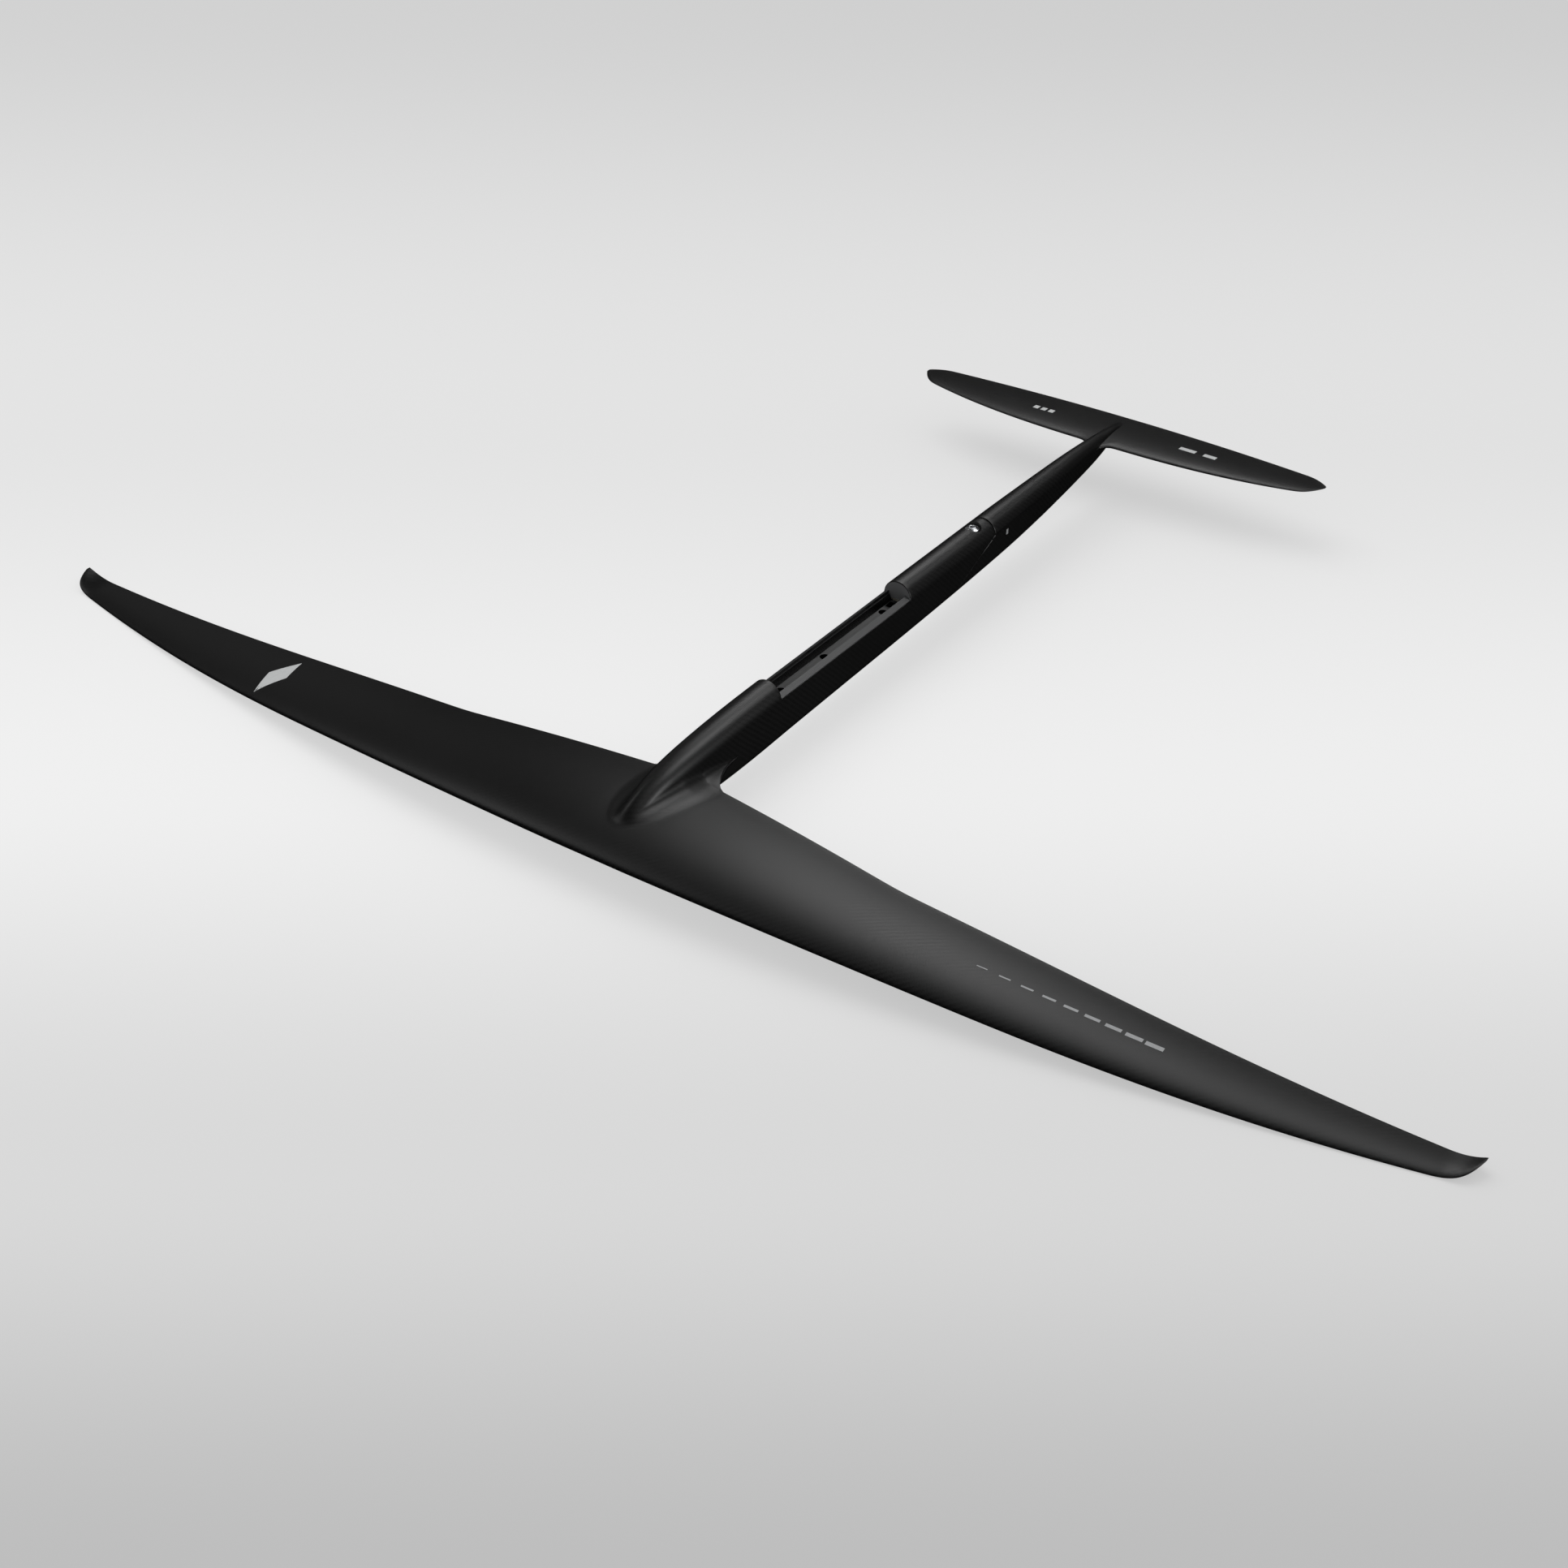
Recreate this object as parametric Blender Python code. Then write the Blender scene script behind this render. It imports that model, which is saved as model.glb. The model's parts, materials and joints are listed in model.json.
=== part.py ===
"""Hydrofoil lower unit: a high-aspect front wing on a fuselage with an open mast seat,
and a bolted-on tail unit that carries the stabiliser.

Axes: X spanwise (+X is port), Y aft, Z up.  The origin is the middle of the flat seat
that the mast stands on.  Lengths in this script are millimetres until make_mesh.
"""
import math

import bmesh
import bpy

MM = 0.001
GAP = 0.3

# Front wing
HALF_SPAN = 517.5
WING_ROOT_LE = -253.3
WING_ROOT_TE = -152.5
WING_KINK_X = 164.0
WING_SWEEP_RISE = 64.5
WING_SWEEP_RUN = 325.0
WING_OUTER_SWEEP = 8.8
WING_OUTER_X = 250.0
TE_INNER_SLOPE = -0.1166
TE_OUTER_SLOPE = 0.0073
WING_ROOT_Z = -13.0
WING_DROOP = 24.7
DROOP_X = 485.0
DROOP_POWER = 2.37
TIP_START = 494.5
TIP_RISE = 7.6
TIP_RAKE = 13.2
TIP_CUT_IN = 2.4
WING_THICKNESS = 0.10
WING_CAMBER = 0.022
EDGE_HALF = 0.45
WING_SKIN = 1.1
SPAR_FRONT_S = 0.42
SPAR_REAR_S = 0.54
WING_SPAR_REACH = 400.0
WING_CORE_START = 12.5
WING_CORES = (("front", 0.10, SPAR_FRONT_S - 0.012, 355), ("rear", SPAR_REAR_S + 0.012, 0.72, 255))

# Stabiliser
STAB_HALF_SPAN = 168.0
STAB_LE = 342.2
STAB_TE = 391.9
STAB_Z = 5.85
STAB_BOW_X = 135.0
STAB_LE_BOW = 12.0
STAB_TE_BOW = 5.6
STAB_TIP_START = 150.0
STAB_TIP_RAKE = 11.0
STAB_TIP_CUT_IN = 6.0
STAB_THICKNESS = 0.095
STAB_CAMBER = 0.0
STAB_SKIN = 0.8
STAB_SPAR_S = (0.34, 0.52)
STAB_CORES = (("front", 0.12, 0.325), ("rear", 0.535, 0.66))
STAB_CORE_START = 8.5
STAB_CORE_END = 105.0

# Fuselage and tail cone: shell thickness and the places of the cross pieces
SHELL = 1.5
FUSELAGE_NOSE = -229.0
FUSELAGE_SEAM_Z = -11.0
SLOT_FRONT = -73.5
SLOT_REAR = 74.3
BULKHEAD = 3.5
SLOT_CUT_Z = 3.6
NOSE_CUT_END = -100.0
NOSE_CORE_START = -190.0
TAIL_CUT_START = 300.0
TAIL_END = 380.0
TONGUE_END = 214.0
HOLLOW_END = 338.0

# Mast seat
SEAT_HALF = 4.1
SLOT_HALF = 6.7
RIM_HALF = 10.3
RIM_OUTER_Z = 4.5
RIM_INNER_Z = 6.6
LEDGE_Z = 4.2
LEDGE_HALF = 6.1
LINER_BOTTOM = -8.0
POCKET_Y = (64.5, 71.5)
POCKET_FLOOR = -4.0
MAST_HOLE_Y = (-59.8, -11.0, 57.3)
MAST_HOLE_R = 3.2
SLEEVE_R = 5.4
SLEEVE_SINK_R = 4.9

# Tail joint: the half lap steps down at JOINT_Y and then slopes forward to the bottom
JOINT_Y = 182.0
JOINT_STEP_Z = 5.0
JOINT_TOE_Y = 120.0
JOINT_TOE_Z = -22.0
SCREW_Y = 168.0
SCREW_HEAD_R = 5.3
SCREW_HEAD_TOP = 11.4
SCREW_SHANK_R = 2.6
BORE_CLEARANCE = 0.6
SCREW_SOCKET_R = 1.95
SCREW_SOCKET_DEPTH = 2.4
SCREW_TIP = -13.5
FERRULE_R = 6.1
FERRULE_TOP = 10.3
FERRULE_BOTTOM = 6.4
INSERT_R = 4.8
INSERT_TOP = -4.2
INSERT_BOTTOM = -14.6

# Fuselage stations: (y, half width, crest z, keel z)
STATIONS = (
    (-229.0, 0.8, -9.6, -12.4),
    (-222.0, 4.2, -4.6, -15.6),
    (-208.0, 6.9, 2.2, -19.6),
    (-190.0, 8.7, 7.4, -23.4),
    (-168.0, 9.8, 10.8, -25.8),
    (-140.0, 10.4, 13.0, -26.8),
    (-105.0, 10.65, 14.4, -26.8),
    (-60.0, 10.65, 14.9, -25.4),
    (0.0, 10.65, 14.9, -23.8),
    (60.0, 10.65, 14.9, -22.3),
    (130.0, 10.65, 14.9, -20.1),
    (182.0, 10.65, 14.9, -17.7),
    (205.0, 10.5, 14.9, -16.5),
    (235.0, 9.7, 14.8, -14.9),
    (266.0, 8.6, 14.7, -12.8),
    (301.0, 7.1, 14.3, -9.3),
    (334.0, 5.4, 12.9, -5.2),
    (360.0, 3.8, 10.5, 0.2),
    (380.0, 2.1, 8.1, 3.8),
)


SIDES = (("port", 1), ("starboard", -1))


# ---- scalar helpers

def smooth_table(rows, y, column):
    """Read one column of a station table with a cubic Hermite curve."""
    y = min(max(y, rows[0][0]), rows[-1][0])
    last = len(rows) - 2
    i = next(k for k in range(last + 1) if y <= rows[k + 1][0])

    def slope(k):
        lo, hi = max(k - 1, 0), min(k + 1, last + 1)
        return (rows[hi][column] - rows[lo][column]) / (rows[hi][0] - rows[lo][0])

    step = rows[i + 1][0] - rows[i][0]
    t = (y - rows[i][0]) / step
    a, b = rows[i][column], rows[i + 1][column]
    return (
        a * (1 + 2 * t) * (1 - t) ** 2
        + slope(i) * step * t * (1 - t) ** 2
        + b * t * t * (3 - 2 * t)
        - slope(i + 1) * step * t * t * (1 - t)
    )


def past(x, start, end, power):
    """0 up to start, then rising to 1 at end."""
    return max(0.0, (x - start) / (end - start)) ** power


# ---- lifting surfaces

def wing_planform(x):
    """Leading edge y, trailing edge y and chord line z of the front wing at |x|."""
    x = abs(x)
    le = WING_ROOT_LE + WING_SWEEP_RISE * (math.sqrt(1 + (x / WING_SWEEP_RUN) ** 2) - 1)
    le += WING_OUTER_SWEEP * past(x, WING_OUTER_X, HALF_SPAN, 2.0)
    le += TIP_RAKE * past(x, TIP_START, HALF_SPAN, 6.0)
    te = WING_ROOT_TE + TE_INNER_SLOPE * min(x, WING_KINK_X)
    te += TE_OUTER_SLOPE * max(0.0, x - WING_KINK_X)
    te -= TIP_CUT_IN * past(x, TIP_START, HALF_SPAN, 2.0)
    z = WING_ROOT_Z - WING_DROOP * math.sin(math.pi / 2 * min(x / DROOP_X, 1)) ** DROOP_POWER
    z += TIP_RISE * past(x, TIP_START, HALF_SPAN, 2.3)
    return le, te, z


def stab_planform(x):
    """Leading edge y, trailing edge y and chord line z of the stabiliser at |x|."""
    x = abs(x)
    le = STAB_LE + STAB_LE_BOW * (x / STAB_BOW_X) ** 2.6
    le += STAB_TIP_RAKE * past(x, STAB_TIP_START, STAB_HALF_SPAN, 2.5)
    te = STAB_TE - STAB_TE_BOW * (x / STAB_BOW_X) ** 2
    te -= STAB_TIP_CUT_IN * past(x, STAB_TIP_START, STAB_HALF_SPAN, 2.0)
    return le, te, STAB_Z


def section(s, chord, thickness, camber):
    """Mean line height and half thickness of an aerofoil at chord fraction s."""
    half = 5 * thickness * chord * (
        0.2969 * math.sqrt(s) - 0.1260 * s - 0.3516 * s**2 + 0.2843 * s**3 - 0.1036 * s**4
    )
    return 4 * camber * chord * s * (1 - s), half


class Surface:
    """One lifting surface: its planform, section and skin."""

    def __init__(self, planform, thickness, camber, skin):
        self.planform = planform
        self.thickness = thickness
        self.camber = camber
        self.skin = skin

    def at(self, x, s):
        """Plan position y, mean height and half thickness at span x and fraction s."""
        le, te, z = self.planform(x)
        mean, half = section(s, te - le, self.thickness, self.camber)
        return le + s * (te - le), z + mean, half


WING = Surface(wing_planform, WING_THICKNESS, WING_CAMBER, WING_SKIN)
STAB = Surface(stab_planform, STAB_THICKNESS, STAB_CAMBER, STAB_SKIN)
CHORD_STEPS = (0.0, 0.012, 0.05, 0.12, 0.22, 0.35, 0.5, 0.65, 0.8, 0.92, 1.0)
WING_STATIONS = (
    0, 14, 40, 75, 115, 164, 205, 255, 305, 355, 400, 440, 470, 489, 500, 507, 512, 515.5, 517.5,
)
STAB_STATIONS = (0, 12, 30, 55, 80, 105, 128, 146, 157, 164, 168)


def mirrored(stations):
    """Stations from starboard tip to port tip."""
    return [-x for x in reversed(stations) if x > 0] + list(stations)


# ---- meshes and objects

def make_object(name, mesh_data, material, smooth=True):
    verts, faces = mesh_data
    mesh = bpy.data.meshes.new(name)
    bm = bmesh.new()
    points = [bm.verts.new([c * MM for c in v]) for v in verts]
    for face in faces:
        bm.faces.new([points[i] for i in face])
    bmesh.ops.recalc_face_normals(bm, faces=bm.faces)
    bm.to_mesh(mesh)
    bm.free()
    obj = bpy.data.objects.new(name, mesh)
    bpy.context.collection.objects.link(obj)
    if material is not None:
        mesh.materials.append(material)
    if smooth:
        mesh.shade_smooth()
        mesh.set_sharp_from_angle(angle=math.radians(35))
    return obj


def loft(rings):
    """A closed solid through rings of equal length, with a flat cap on each end."""
    n = len(rings[0])
    verts = [p for ring in rings for p in ring]
    faces = [
        (i * n + k, i * n + (k + 1) % n, (i + 1) * n + (k + 1) % n, (i + 1) * n + k)
        for i in range(len(rings) - 1)
        for k in range(n)
    ]
    faces.append(tuple(range(n)))
    faces.append(tuple((len(rings) - 1) * n + k for k in range(n)))
    return verts, faces


def prism(outline, axis, low, high):
    """Extrude a 2-D outline along X ('X', outline in y, z) or along Y ('Y', outline in x, z)."""
    if axis == "X":
        rings = [[(t, a, b) for a, b in outline] for t in (low, high)]
    else:
        rings = [[(a, t, b) for a, b in outline] for t in (low, high)]
    return loft(rings)


def box(x0, x1, y0, y1, z0, z1):
    return prism([(y0, z0), (y1, z0), (y1, z1), (y0, z1)], "X", x0, x1)


def turned(profile, segments, centre_y):
    """Turn (radius, z) points about the vertical line x = 0, y = centre_y."""
    rings = []
    for r, z in profile:
        angles = [2 * math.pi * k / segments for k in range(segments)]
        rings.append([(r * math.cos(a), centre_y + r * math.sin(a), z) for a in angles])
    return rings


def turned_solid(profile, segments, centre_y):
    return loft(turned(profile, segments, centre_y))


def turned_tube(profile, segments, centre_y):
    """A tube: the profile runs round its wall and closes on itself."""
    rings = turned(profile, segments, centre_y)
    count = len(rings)
    verts = [p for ring in rings for p in ring]
    faces = []
    for i in range(count):
        j = (i + 1) % count
        for k in range(segments):
            m = (k + 1) % segments
            faces.append((i * segments + k, i * segments + m, j * segments + m, j * segments + k))
    return verts, faces


def cut(target, *cutters):
    """Subtract each cutter mesh from the target."""
    for number, data in enumerate(cutters):
        cutter = make_object(f"{target.name}_cutter_{number}", data, None, smooth=False)
        cutter.hide_render = True
        cutter.display_type = "WIRE"
        modifier = target.modifiers.new(f"cut_{number}", "BOOLEAN")
        modifier.operation = "DIFFERENCE"
        modifier.object = cutter
    return target


def skin_half(surface, stations, side):
    """The upper (side 1) or lower (side -1) skin of a lifting surface along the stations."""
    outer, inner = [], []
    for x in stations:
        for s in CHORD_STEPS:
            y, mean, half = surface.at(x, s)
            outer.append((x, y, mean + side * max(half, EDGE_HALF)))
            inner.append((x, y, mean + side * max(half - surface.skin, GAP / 2)))
    rows, cols = len(stations), len(CHORD_STEPS)
    total = rows * cols
    faces = []
    for i in range(rows - 1):
        for k in range(cols - 1):
            a, b = i * cols + k, (i + 1) * cols + k
            faces.append((a, b, b + 1, a + 1))
            faces.append((total + a, total + a + 1, total + b + 1, total + b))
    edge = [i * cols for i in range(rows)]
    edge += [(rows - 1) * cols + k for k in range(1, cols)]
    edge += [i * cols + cols - 1 for i in range(rows - 2, -1, -1)]
    edge += [k for k in range(cols - 2, 0, -1)]
    for a, b in zip(edge, edge[1:] + edge[:1]):
        faces.append((a, b, total + b, total + a))
    return outer + inner, faces


def inner_solid(surface, stations, s_low, s_high, steps=4, grow=0.0, margin=0.3):
    """A core or spar between the skins, from chord fraction s_low to s_high."""
    rings = []
    for x in stations:
        top, bottom = [], []
        for k in range(steps + 1):
            s = s_low + (s_high - s_low) * k / steps
            y, mean, half = surface.at(x, s)
            lean = grow * (2 * k / steps - 1)
            reach = half - surface.skin - margin + grow
            top.append((x, y + lean, mean + reach))
            bottom.append((x, y + lean, mean - reach))
        rings.append(top + bottom[::-1])
    return loft(rings)


# ---- fuselage and tail cone

def tube_ring(y, inset=0.0, segments=12):
    """Cross-section at y: a round crest, straight sides and a rounded keel."""
    half = smooth_table(STATIONS, y, 1)
    crest = smooth_table(STATIONS, y, 2)
    keel = smooth_table(STATIONS, y, 3)
    depth = crest - keel
    rise = min(half, 0.5 * depth)
    corner = min(5.2, 0.62 * half, 0.4 * depth)
    shoulder = crest - rise
    half, rise = half - inset, rise - inset
    keel, corner = keel + inset, max(corner - inset, 0.3 * corner)
    ring = []
    for k in range(segments + 1):
        a = math.pi * k / segments
        ring.append((half * math.cos(a), y, shoulder + rise * math.sin(a)))
    for k in range(4):
        a = math.pi / 2 * k / 3
        ring.append((-half + corner * (1 - math.cos(a)), y, keel + corner * (1 - math.sin(a))))
    for k in range(3, -1, -1):
        a = math.pi / 2 * k / 3
        ring.append((half - corner * (1 - math.cos(a)), y, keel + corner * (1 - math.sin(a))))
    return ring


def tube(y0, y1, inset=0.0, pitch=26.0):
    """A length of fuselage from y0 to y1, inset from the outer surface."""
    ys = {y0, y1}
    ys |= {row[0] for row in STATIONS if y0 + 2 < row[0] < y1 - 2}
    ys = sorted(ys)
    fine = [ys[0]]
    for a, b in zip(ys, ys[1:]):
        parts = max(1, round((b - a) / pitch)) if b - a > 1.4 * pitch and b < -60 else 1
        fine += [a + (b - a) * k / parts for k in range(1, parts + 1)]
    return loft([tube_ring(y, inset) for y in fine])


def joint_outline(shift, behind):
    """The half-lap's step and slope, closed round the side that is cut away."""
    run, drop = JOINT_Y - JOINT_TOE_Y, JOINT_STEP_Z - JOINT_TOE_Z
    length = math.hypot(run, drop)
    lower = shift * length / run
    step_z = JOINT_STEP_Z + shift * drop / run - lower
    far = 500.0 if behind else -400.0
    outline = [(JOINT_Y + shift, 60.0), (JOINT_Y + shift, step_z)]
    outline.append((JOINT_TOE_Y - 40.0, JOINT_TOE_Z - 40.0 * drop / run - lower))
    outline.append((JOINT_TOE_Y - 40.0, -90.0))
    if behind:
        return outline + [(far, -90.0), (far, 60.0)]
    return outline[:3] + [(far, outline[2][1]), (far, 60.0)]


BEHIND_JOINT = prism(joint_outline(0.0, True), "X", -60.0, 60.0)
AHEAD_OF_JOINT = prism(joint_outline(GAP, False), "X", -60.0, 60.0)


# ---- the pieces

def build_wing(mats):
    fuselage_hole = tube(FUSELAGE_NOSE - GAP, NOSE_CUT_END, -GAP)
    half_span = [GAP / 2, *WING_STATIONS[1:]]
    for hand, sign in SIDES:
        for level, side in (("upper", 1), ("lower", -1)):
            skin = skin_half(WING, [sign * x for x in half_span], side)
            skin = make_object(f"wing_{level}_skin_{hand}", skin, mats["carbon"])
            cut(skin, fuselage_hole)
    spar_reach = [x for x in WING_STATIONS if x <= WING_SPAR_REACH]
    spar = inner_solid(WING, mirrored(spar_reach), SPAR_FRONT_S, SPAR_REAR_S, 2)
    make_object("wing_spar", spar, mats["spar"])
    for place, low, high, reach in WING_CORES:
        core_reach = [WING_CORE_START] + [x for x in WING_STATIONS if 14 < x <= reach]
        for hand, sign in SIDES:
            core = inner_solid(WING, [sign * x for x in core_reach], low, high, 4)
            make_object(f"wing_core_{place}_{hand}", core, mats["foam"])


def build_fuselage(mats):
    spar_hole = inner_solid(WING, (-16, 0, 16), SPAR_FRONT_S, SPAR_REAR_S, 2, grow=GAP)
    outer = tube(FUSELAGE_NOSE, JOINT_Y + 20)
    hollow = tube(FUSELAGE_NOSE + 10, JOINT_Y + 40, SHELL)
    upper = make_object("fuselage_upper_shell", outer, mats["carbon"])
    below = box(-40, 40, -260, 260, -60, FUSELAGE_SEAM_Z + GAP / 2)
    slot = box(-40, 40, SLOT_FRONT, SLOT_REAR, SLOT_CUT_Z, 40)
    screw_hole = turned_solid([(6.0, 8.0), (6.0, 30.0)], 24, SCREW_Y)
    cut(upper, hollow, below, slot, screw_hole, spar_hole, BEHIND_JOINT)
    lower = make_object("fuselage_lower_shell", outer, mats["carbon"])
    above = box(-40, 40, -260, 260, FUSELAGE_SEAM_Z - GAP / 2, 60)
    sleeve_r = SLEEVE_R + GAP
    holes = [turned_solid([(sleeve_r, -40), (sleeve_r, -15)], 20, y) for y in MAST_HOLE_Y]
    cut(lower, hollow, above, spar_hole, BEHIND_JOINT, *holes)

    inset = SHELL + GAP
    core = tube(NOSE_CORE_START, SLOT_FRONT - BULKHEAD - GAP, inset)
    make_object("nose_core", core, mats["foam"])
    front = tube(SLOT_FRONT - BULKHEAD, SLOT_FRONT - GAP, inset)
    make_object("slot_front_bulkhead", front, mats["laminate"])
    rear = tube(SLOT_REAR, SLOT_REAR + BULKHEAD, inset)
    make_object("slot_rear_bulkhead", rear, mats["laminate"])

    middle = tube(SLOT_FRONT, SLOT_REAR - GAP, inset)
    core = make_object("fuselage_core_middle", middle, mats["foam"])
    sleeve_holes = [turned_solid([(sleeve_r, -40), (sleeve_r, 0)], 20, y) for y in MAST_HOLE_Y]
    cut(core, box(-40, 40, -260, 260, LINER_BOTTOM - GAP, 60), *sleeve_holes)
    lap_start = JOINT_TOE_Y - 2.0
    rear_core = tube(SLOT_REAR + BULKHEAD + GAP, lap_start - GAP, inset)
    make_object("fuselage_core_rear", rear_core, mats["foam"])
    lap = make_object("lap_block", tube(lap_start, JOINT_Y + 5, inset), mats["laminate"])
    pocket_r, bore_r = FERRULE_R + GAP, SCREW_SHANK_R + BORE_CLEARANCE
    pocket = turned_solid([(pocket_r, FERRULE_BOTTOM - GAP), (pocket_r, 40)], 24, SCREW_Y)
    bore = turned_solid([(bore_r, -40), (bore_r, 20)], 24, SCREW_Y)
    cut(lap, BEHIND_JOINT, pocket, bore)


def build_mast_seat(mats):
    side = SHELL + GAP
    half = 10.65 - side
    right = [
        (half, LINER_BOTTOM),
        (half, SLOT_CUT_Z + GAP),
        (RIM_HALF, SLOT_CUT_Z + GAP),
        (RIM_HALF, RIM_OUTER_Z),
        (SLOT_HALF, RIM_INNER_Z),
        (SLOT_HALF, LEDGE_Z),
        (LEDGE_HALF, LEDGE_Z),
        (SEAT_HALF, 0.0),
    ]
    outline = right + [(-x, z) for x, z in reversed(right)]
    liner = prism(outline, "Y", SLOT_FRONT + GAP, SLOT_REAR - GAP)
    liner = make_object("mast_slot_liner", liner, mats["liner"], smooth=False)
    holes = [turned_solid([(MAST_HOLE_R, -20), (MAST_HOLE_R, 20)], 20, y) for y in MAST_HOLE_Y]
    pocket_half = SEAT_HALF - 0.6
    pocket = box(-pocket_half, pocket_half, *POCKET_Y, POCKET_FLOOR, LEDGE_Z)
    cut(liner, pocket, *holes)
    for place, y in zip(("front", "middle", "rear"), MAST_HOLE_Y):
        keel = smooth_table(STATIONS, y, 3) + 0.2
        top = LINER_BOTTOM - GAP
        profile = [
            (SLEEVE_R, top),
            (SLEEVE_R, keel),
            (SLEEVE_SINK_R, keel),
            (MAST_HOLE_R, keel + 2.6),
            (MAST_HOLE_R, top),
        ]
        make_object(f"mast_sleeve_{place}", turned_tube(profile, 20, y), mats["steel"])


def build_tail_screw(mats, empty):
    profile = [
        (1.9, SCREW_TIP),
        (SCREW_SHANK_R, SCREW_TIP + 0.8),
        (SCREW_SHANK_R, FERRULE_BOTTOM + 1.4),
        (SCREW_HEAD_R, SCREW_HEAD_TOP - 1.0),
        (SCREW_HEAD_R, SCREW_HEAD_TOP - 0.3),
        (SCREW_HEAD_R - 0.4, SCREW_HEAD_TOP),
    ]
    screw = make_object("tail_screw", turned_solid(profile, 24, SCREW_Y), mats["steel"])
    socket_floor = SCREW_HEAD_TOP - SCREW_SOCKET_DEPTH
    socket = [(SCREW_SOCKET_R, socket_floor), (SCREW_SOCKET_R, SCREW_HEAD_TOP + 2)]
    socket = turned_solid(socket, 6, SCREW_Y)
    cut(screw, socket)
    screw.parent = empty
    ferrule = [
        (FERRULE_R, FERRULE_TOP),
        (FERRULE_R, FERRULE_BOTTOM),
        (SCREW_SHANK_R + 0.5, FERRULE_BOTTOM),
        (SCREW_SHANK_R + 0.5, FERRULE_BOTTOM + 0.7),
        (SCREW_HEAD_R + 0.4, FERRULE_TOP),
    ]
    make_object("screw_ferrule", turned_tube(ferrule, 24, SCREW_Y), mats["steel"])


def build_tail(mats, empty):
    inset = SHELL + GAP
    spar_hole = inner_solid(STAB, (-12, 0, 12), *STAB_SPAR_S, 2, grow=GAP, margin=0.2)
    outer = tube(JOINT_TOE_Y - 30, TAIL_END)
    hollow = tube(JOINT_TOE_Y - 35, HOLLOW_END, SHELL)
    upper = make_object("tail_upper_shell", outer, mats["carbon"])
    cut(upper, hollow, box(-40, 40, 60, 420, -60, STAB_Z + GAP / 2), spar_hole, AHEAD_OF_JOINT)
    lower = make_object("tail_lower_shell", outer, mats["carbon"])
    cut(lower, hollow, box(-40, 40, 60, 420, STAB_Z - GAP / 2, 60), spar_hole, AHEAD_OF_JOINT)

    tongue = tube(JOINT_TOE_Y - 30, TONGUE_END, inset)
    tongue = make_object("tail_tongue", tongue, mats["laminate"])
    pocket_r = INSERT_R + GAP
    pocket = turned_solid([(pocket_r, INSERT_BOTTOM - GAP), (pocket_r, INSERT_TOP + GAP)], 20, SCREW_Y)
    bore_r = SCREW_SHANK_R + BORE_CLEARANCE
    bore = turned_solid([(bore_r, INSERT_BOTTOM), (bore_r, 20)], 24, SCREW_Y)
    cut(tongue, AHEAD_OF_JOINT, pocket, bore)
    core = tube(TONGUE_END + GAP, HOLLOW_END - 4, inset)
    core = make_object("tail_cone_core", core, mats["foam"])
    insert = [
        (INSERT_R, INSERT_TOP),
        (INSERT_R, INSERT_BOTTOM),
        (SCREW_SHANK_R + 0.25, INSERT_BOTTOM),
        (SCREW_SHANK_R + 0.25, INSERT_TOP),
    ]
    thread = make_object("tail_thread_insert", turned_tube(insert, 20, SCREW_Y), mats["brass"])

    cone_hole = tube(TAIL_CUT_START, TAIL_END, -GAP)
    pieces = [upper, lower, tongue, core, thread]
    for name, side in (("stab_upper_skin", 1), ("stab_lower_skin", -1)):
        skin = make_object(name, skin_half(STAB, mirrored(STAB_STATIONS), side), mats["carbon"])
        pieces.append(cut(skin, cone_hole))
    spar_reach = [x for x in STAB_STATIONS if x <= STAB_CORE_END]
    spar = inner_solid(STAB, mirrored(spar_reach), *STAB_SPAR_S, 2, margin=0.2)
    pieces.append(make_object("stab_spar", spar, mats["spar"]))
    core_reach = [STAB_CORE_START] + [x for x in STAB_STATIONS if 12 < x <= STAB_CORE_END]
    for place, low, high in STAB_CORES:
        for hand, sign in SIDES:
            solid = inner_solid(STAB, [sign * x for x in core_reach], low, high, 3, margin=0.25)
            pieces.append(make_object(f"stab_core_{place}_{hand}", solid, mats["foam"]))
    for piece in pieces:
        piece.parent = empty


def make_material(name, colour, roughness, metallic=0.0):
    material = bpy.data.materials.new(name)
    material.use_nodes = True
    shader = material.node_tree.nodes["Principled BSDF"]
    shader.inputs["Base Color"].default_value = (*colour, 1.0)
    shader.inputs["Roughness"].default_value = roughness
    shader.inputs["Metallic"].default_value = metallic
    return material


def main():
    for obj in list(bpy.data.objects):
        bpy.data.objects.remove(obj, do_unlink=True)
    mats = {
        "carbon": make_material("carbon", (0.012, 0.012, 0.013), 0.42),
        "laminate": make_material("laminate", (0.05, 0.05, 0.052), 0.55),
        "liner": make_material("liner", (0.09, 0.09, 0.095), 0.5),
        "spar": make_material("spar", (0.02, 0.02, 0.022), 0.5),
        "foam": make_material("foam", (0.72, 0.68, 0.58), 0.9),
        "steel": make_material("steel", (0.6, 0.6, 0.62), 0.3, 1.0),
        "brass": make_material("brass", (0.65, 0.5, 0.25), 0.35, 1.0),
    }
    tail_empty = bpy.data.objects.new("tail_slide_axis", None)
    screw_empty = bpy.data.objects.new("screw_slide_axis", None)
    for empty in (tail_empty, screw_empty):
        bpy.context.collection.objects.link(empty)
    build_wing(mats)
    build_fuselage(mats)
    build_mast_seat(mats)
    build_tail_screw(mats, screw_empty)
    build_tail(mats, tail_empty)


main()
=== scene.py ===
import json
import math

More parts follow.
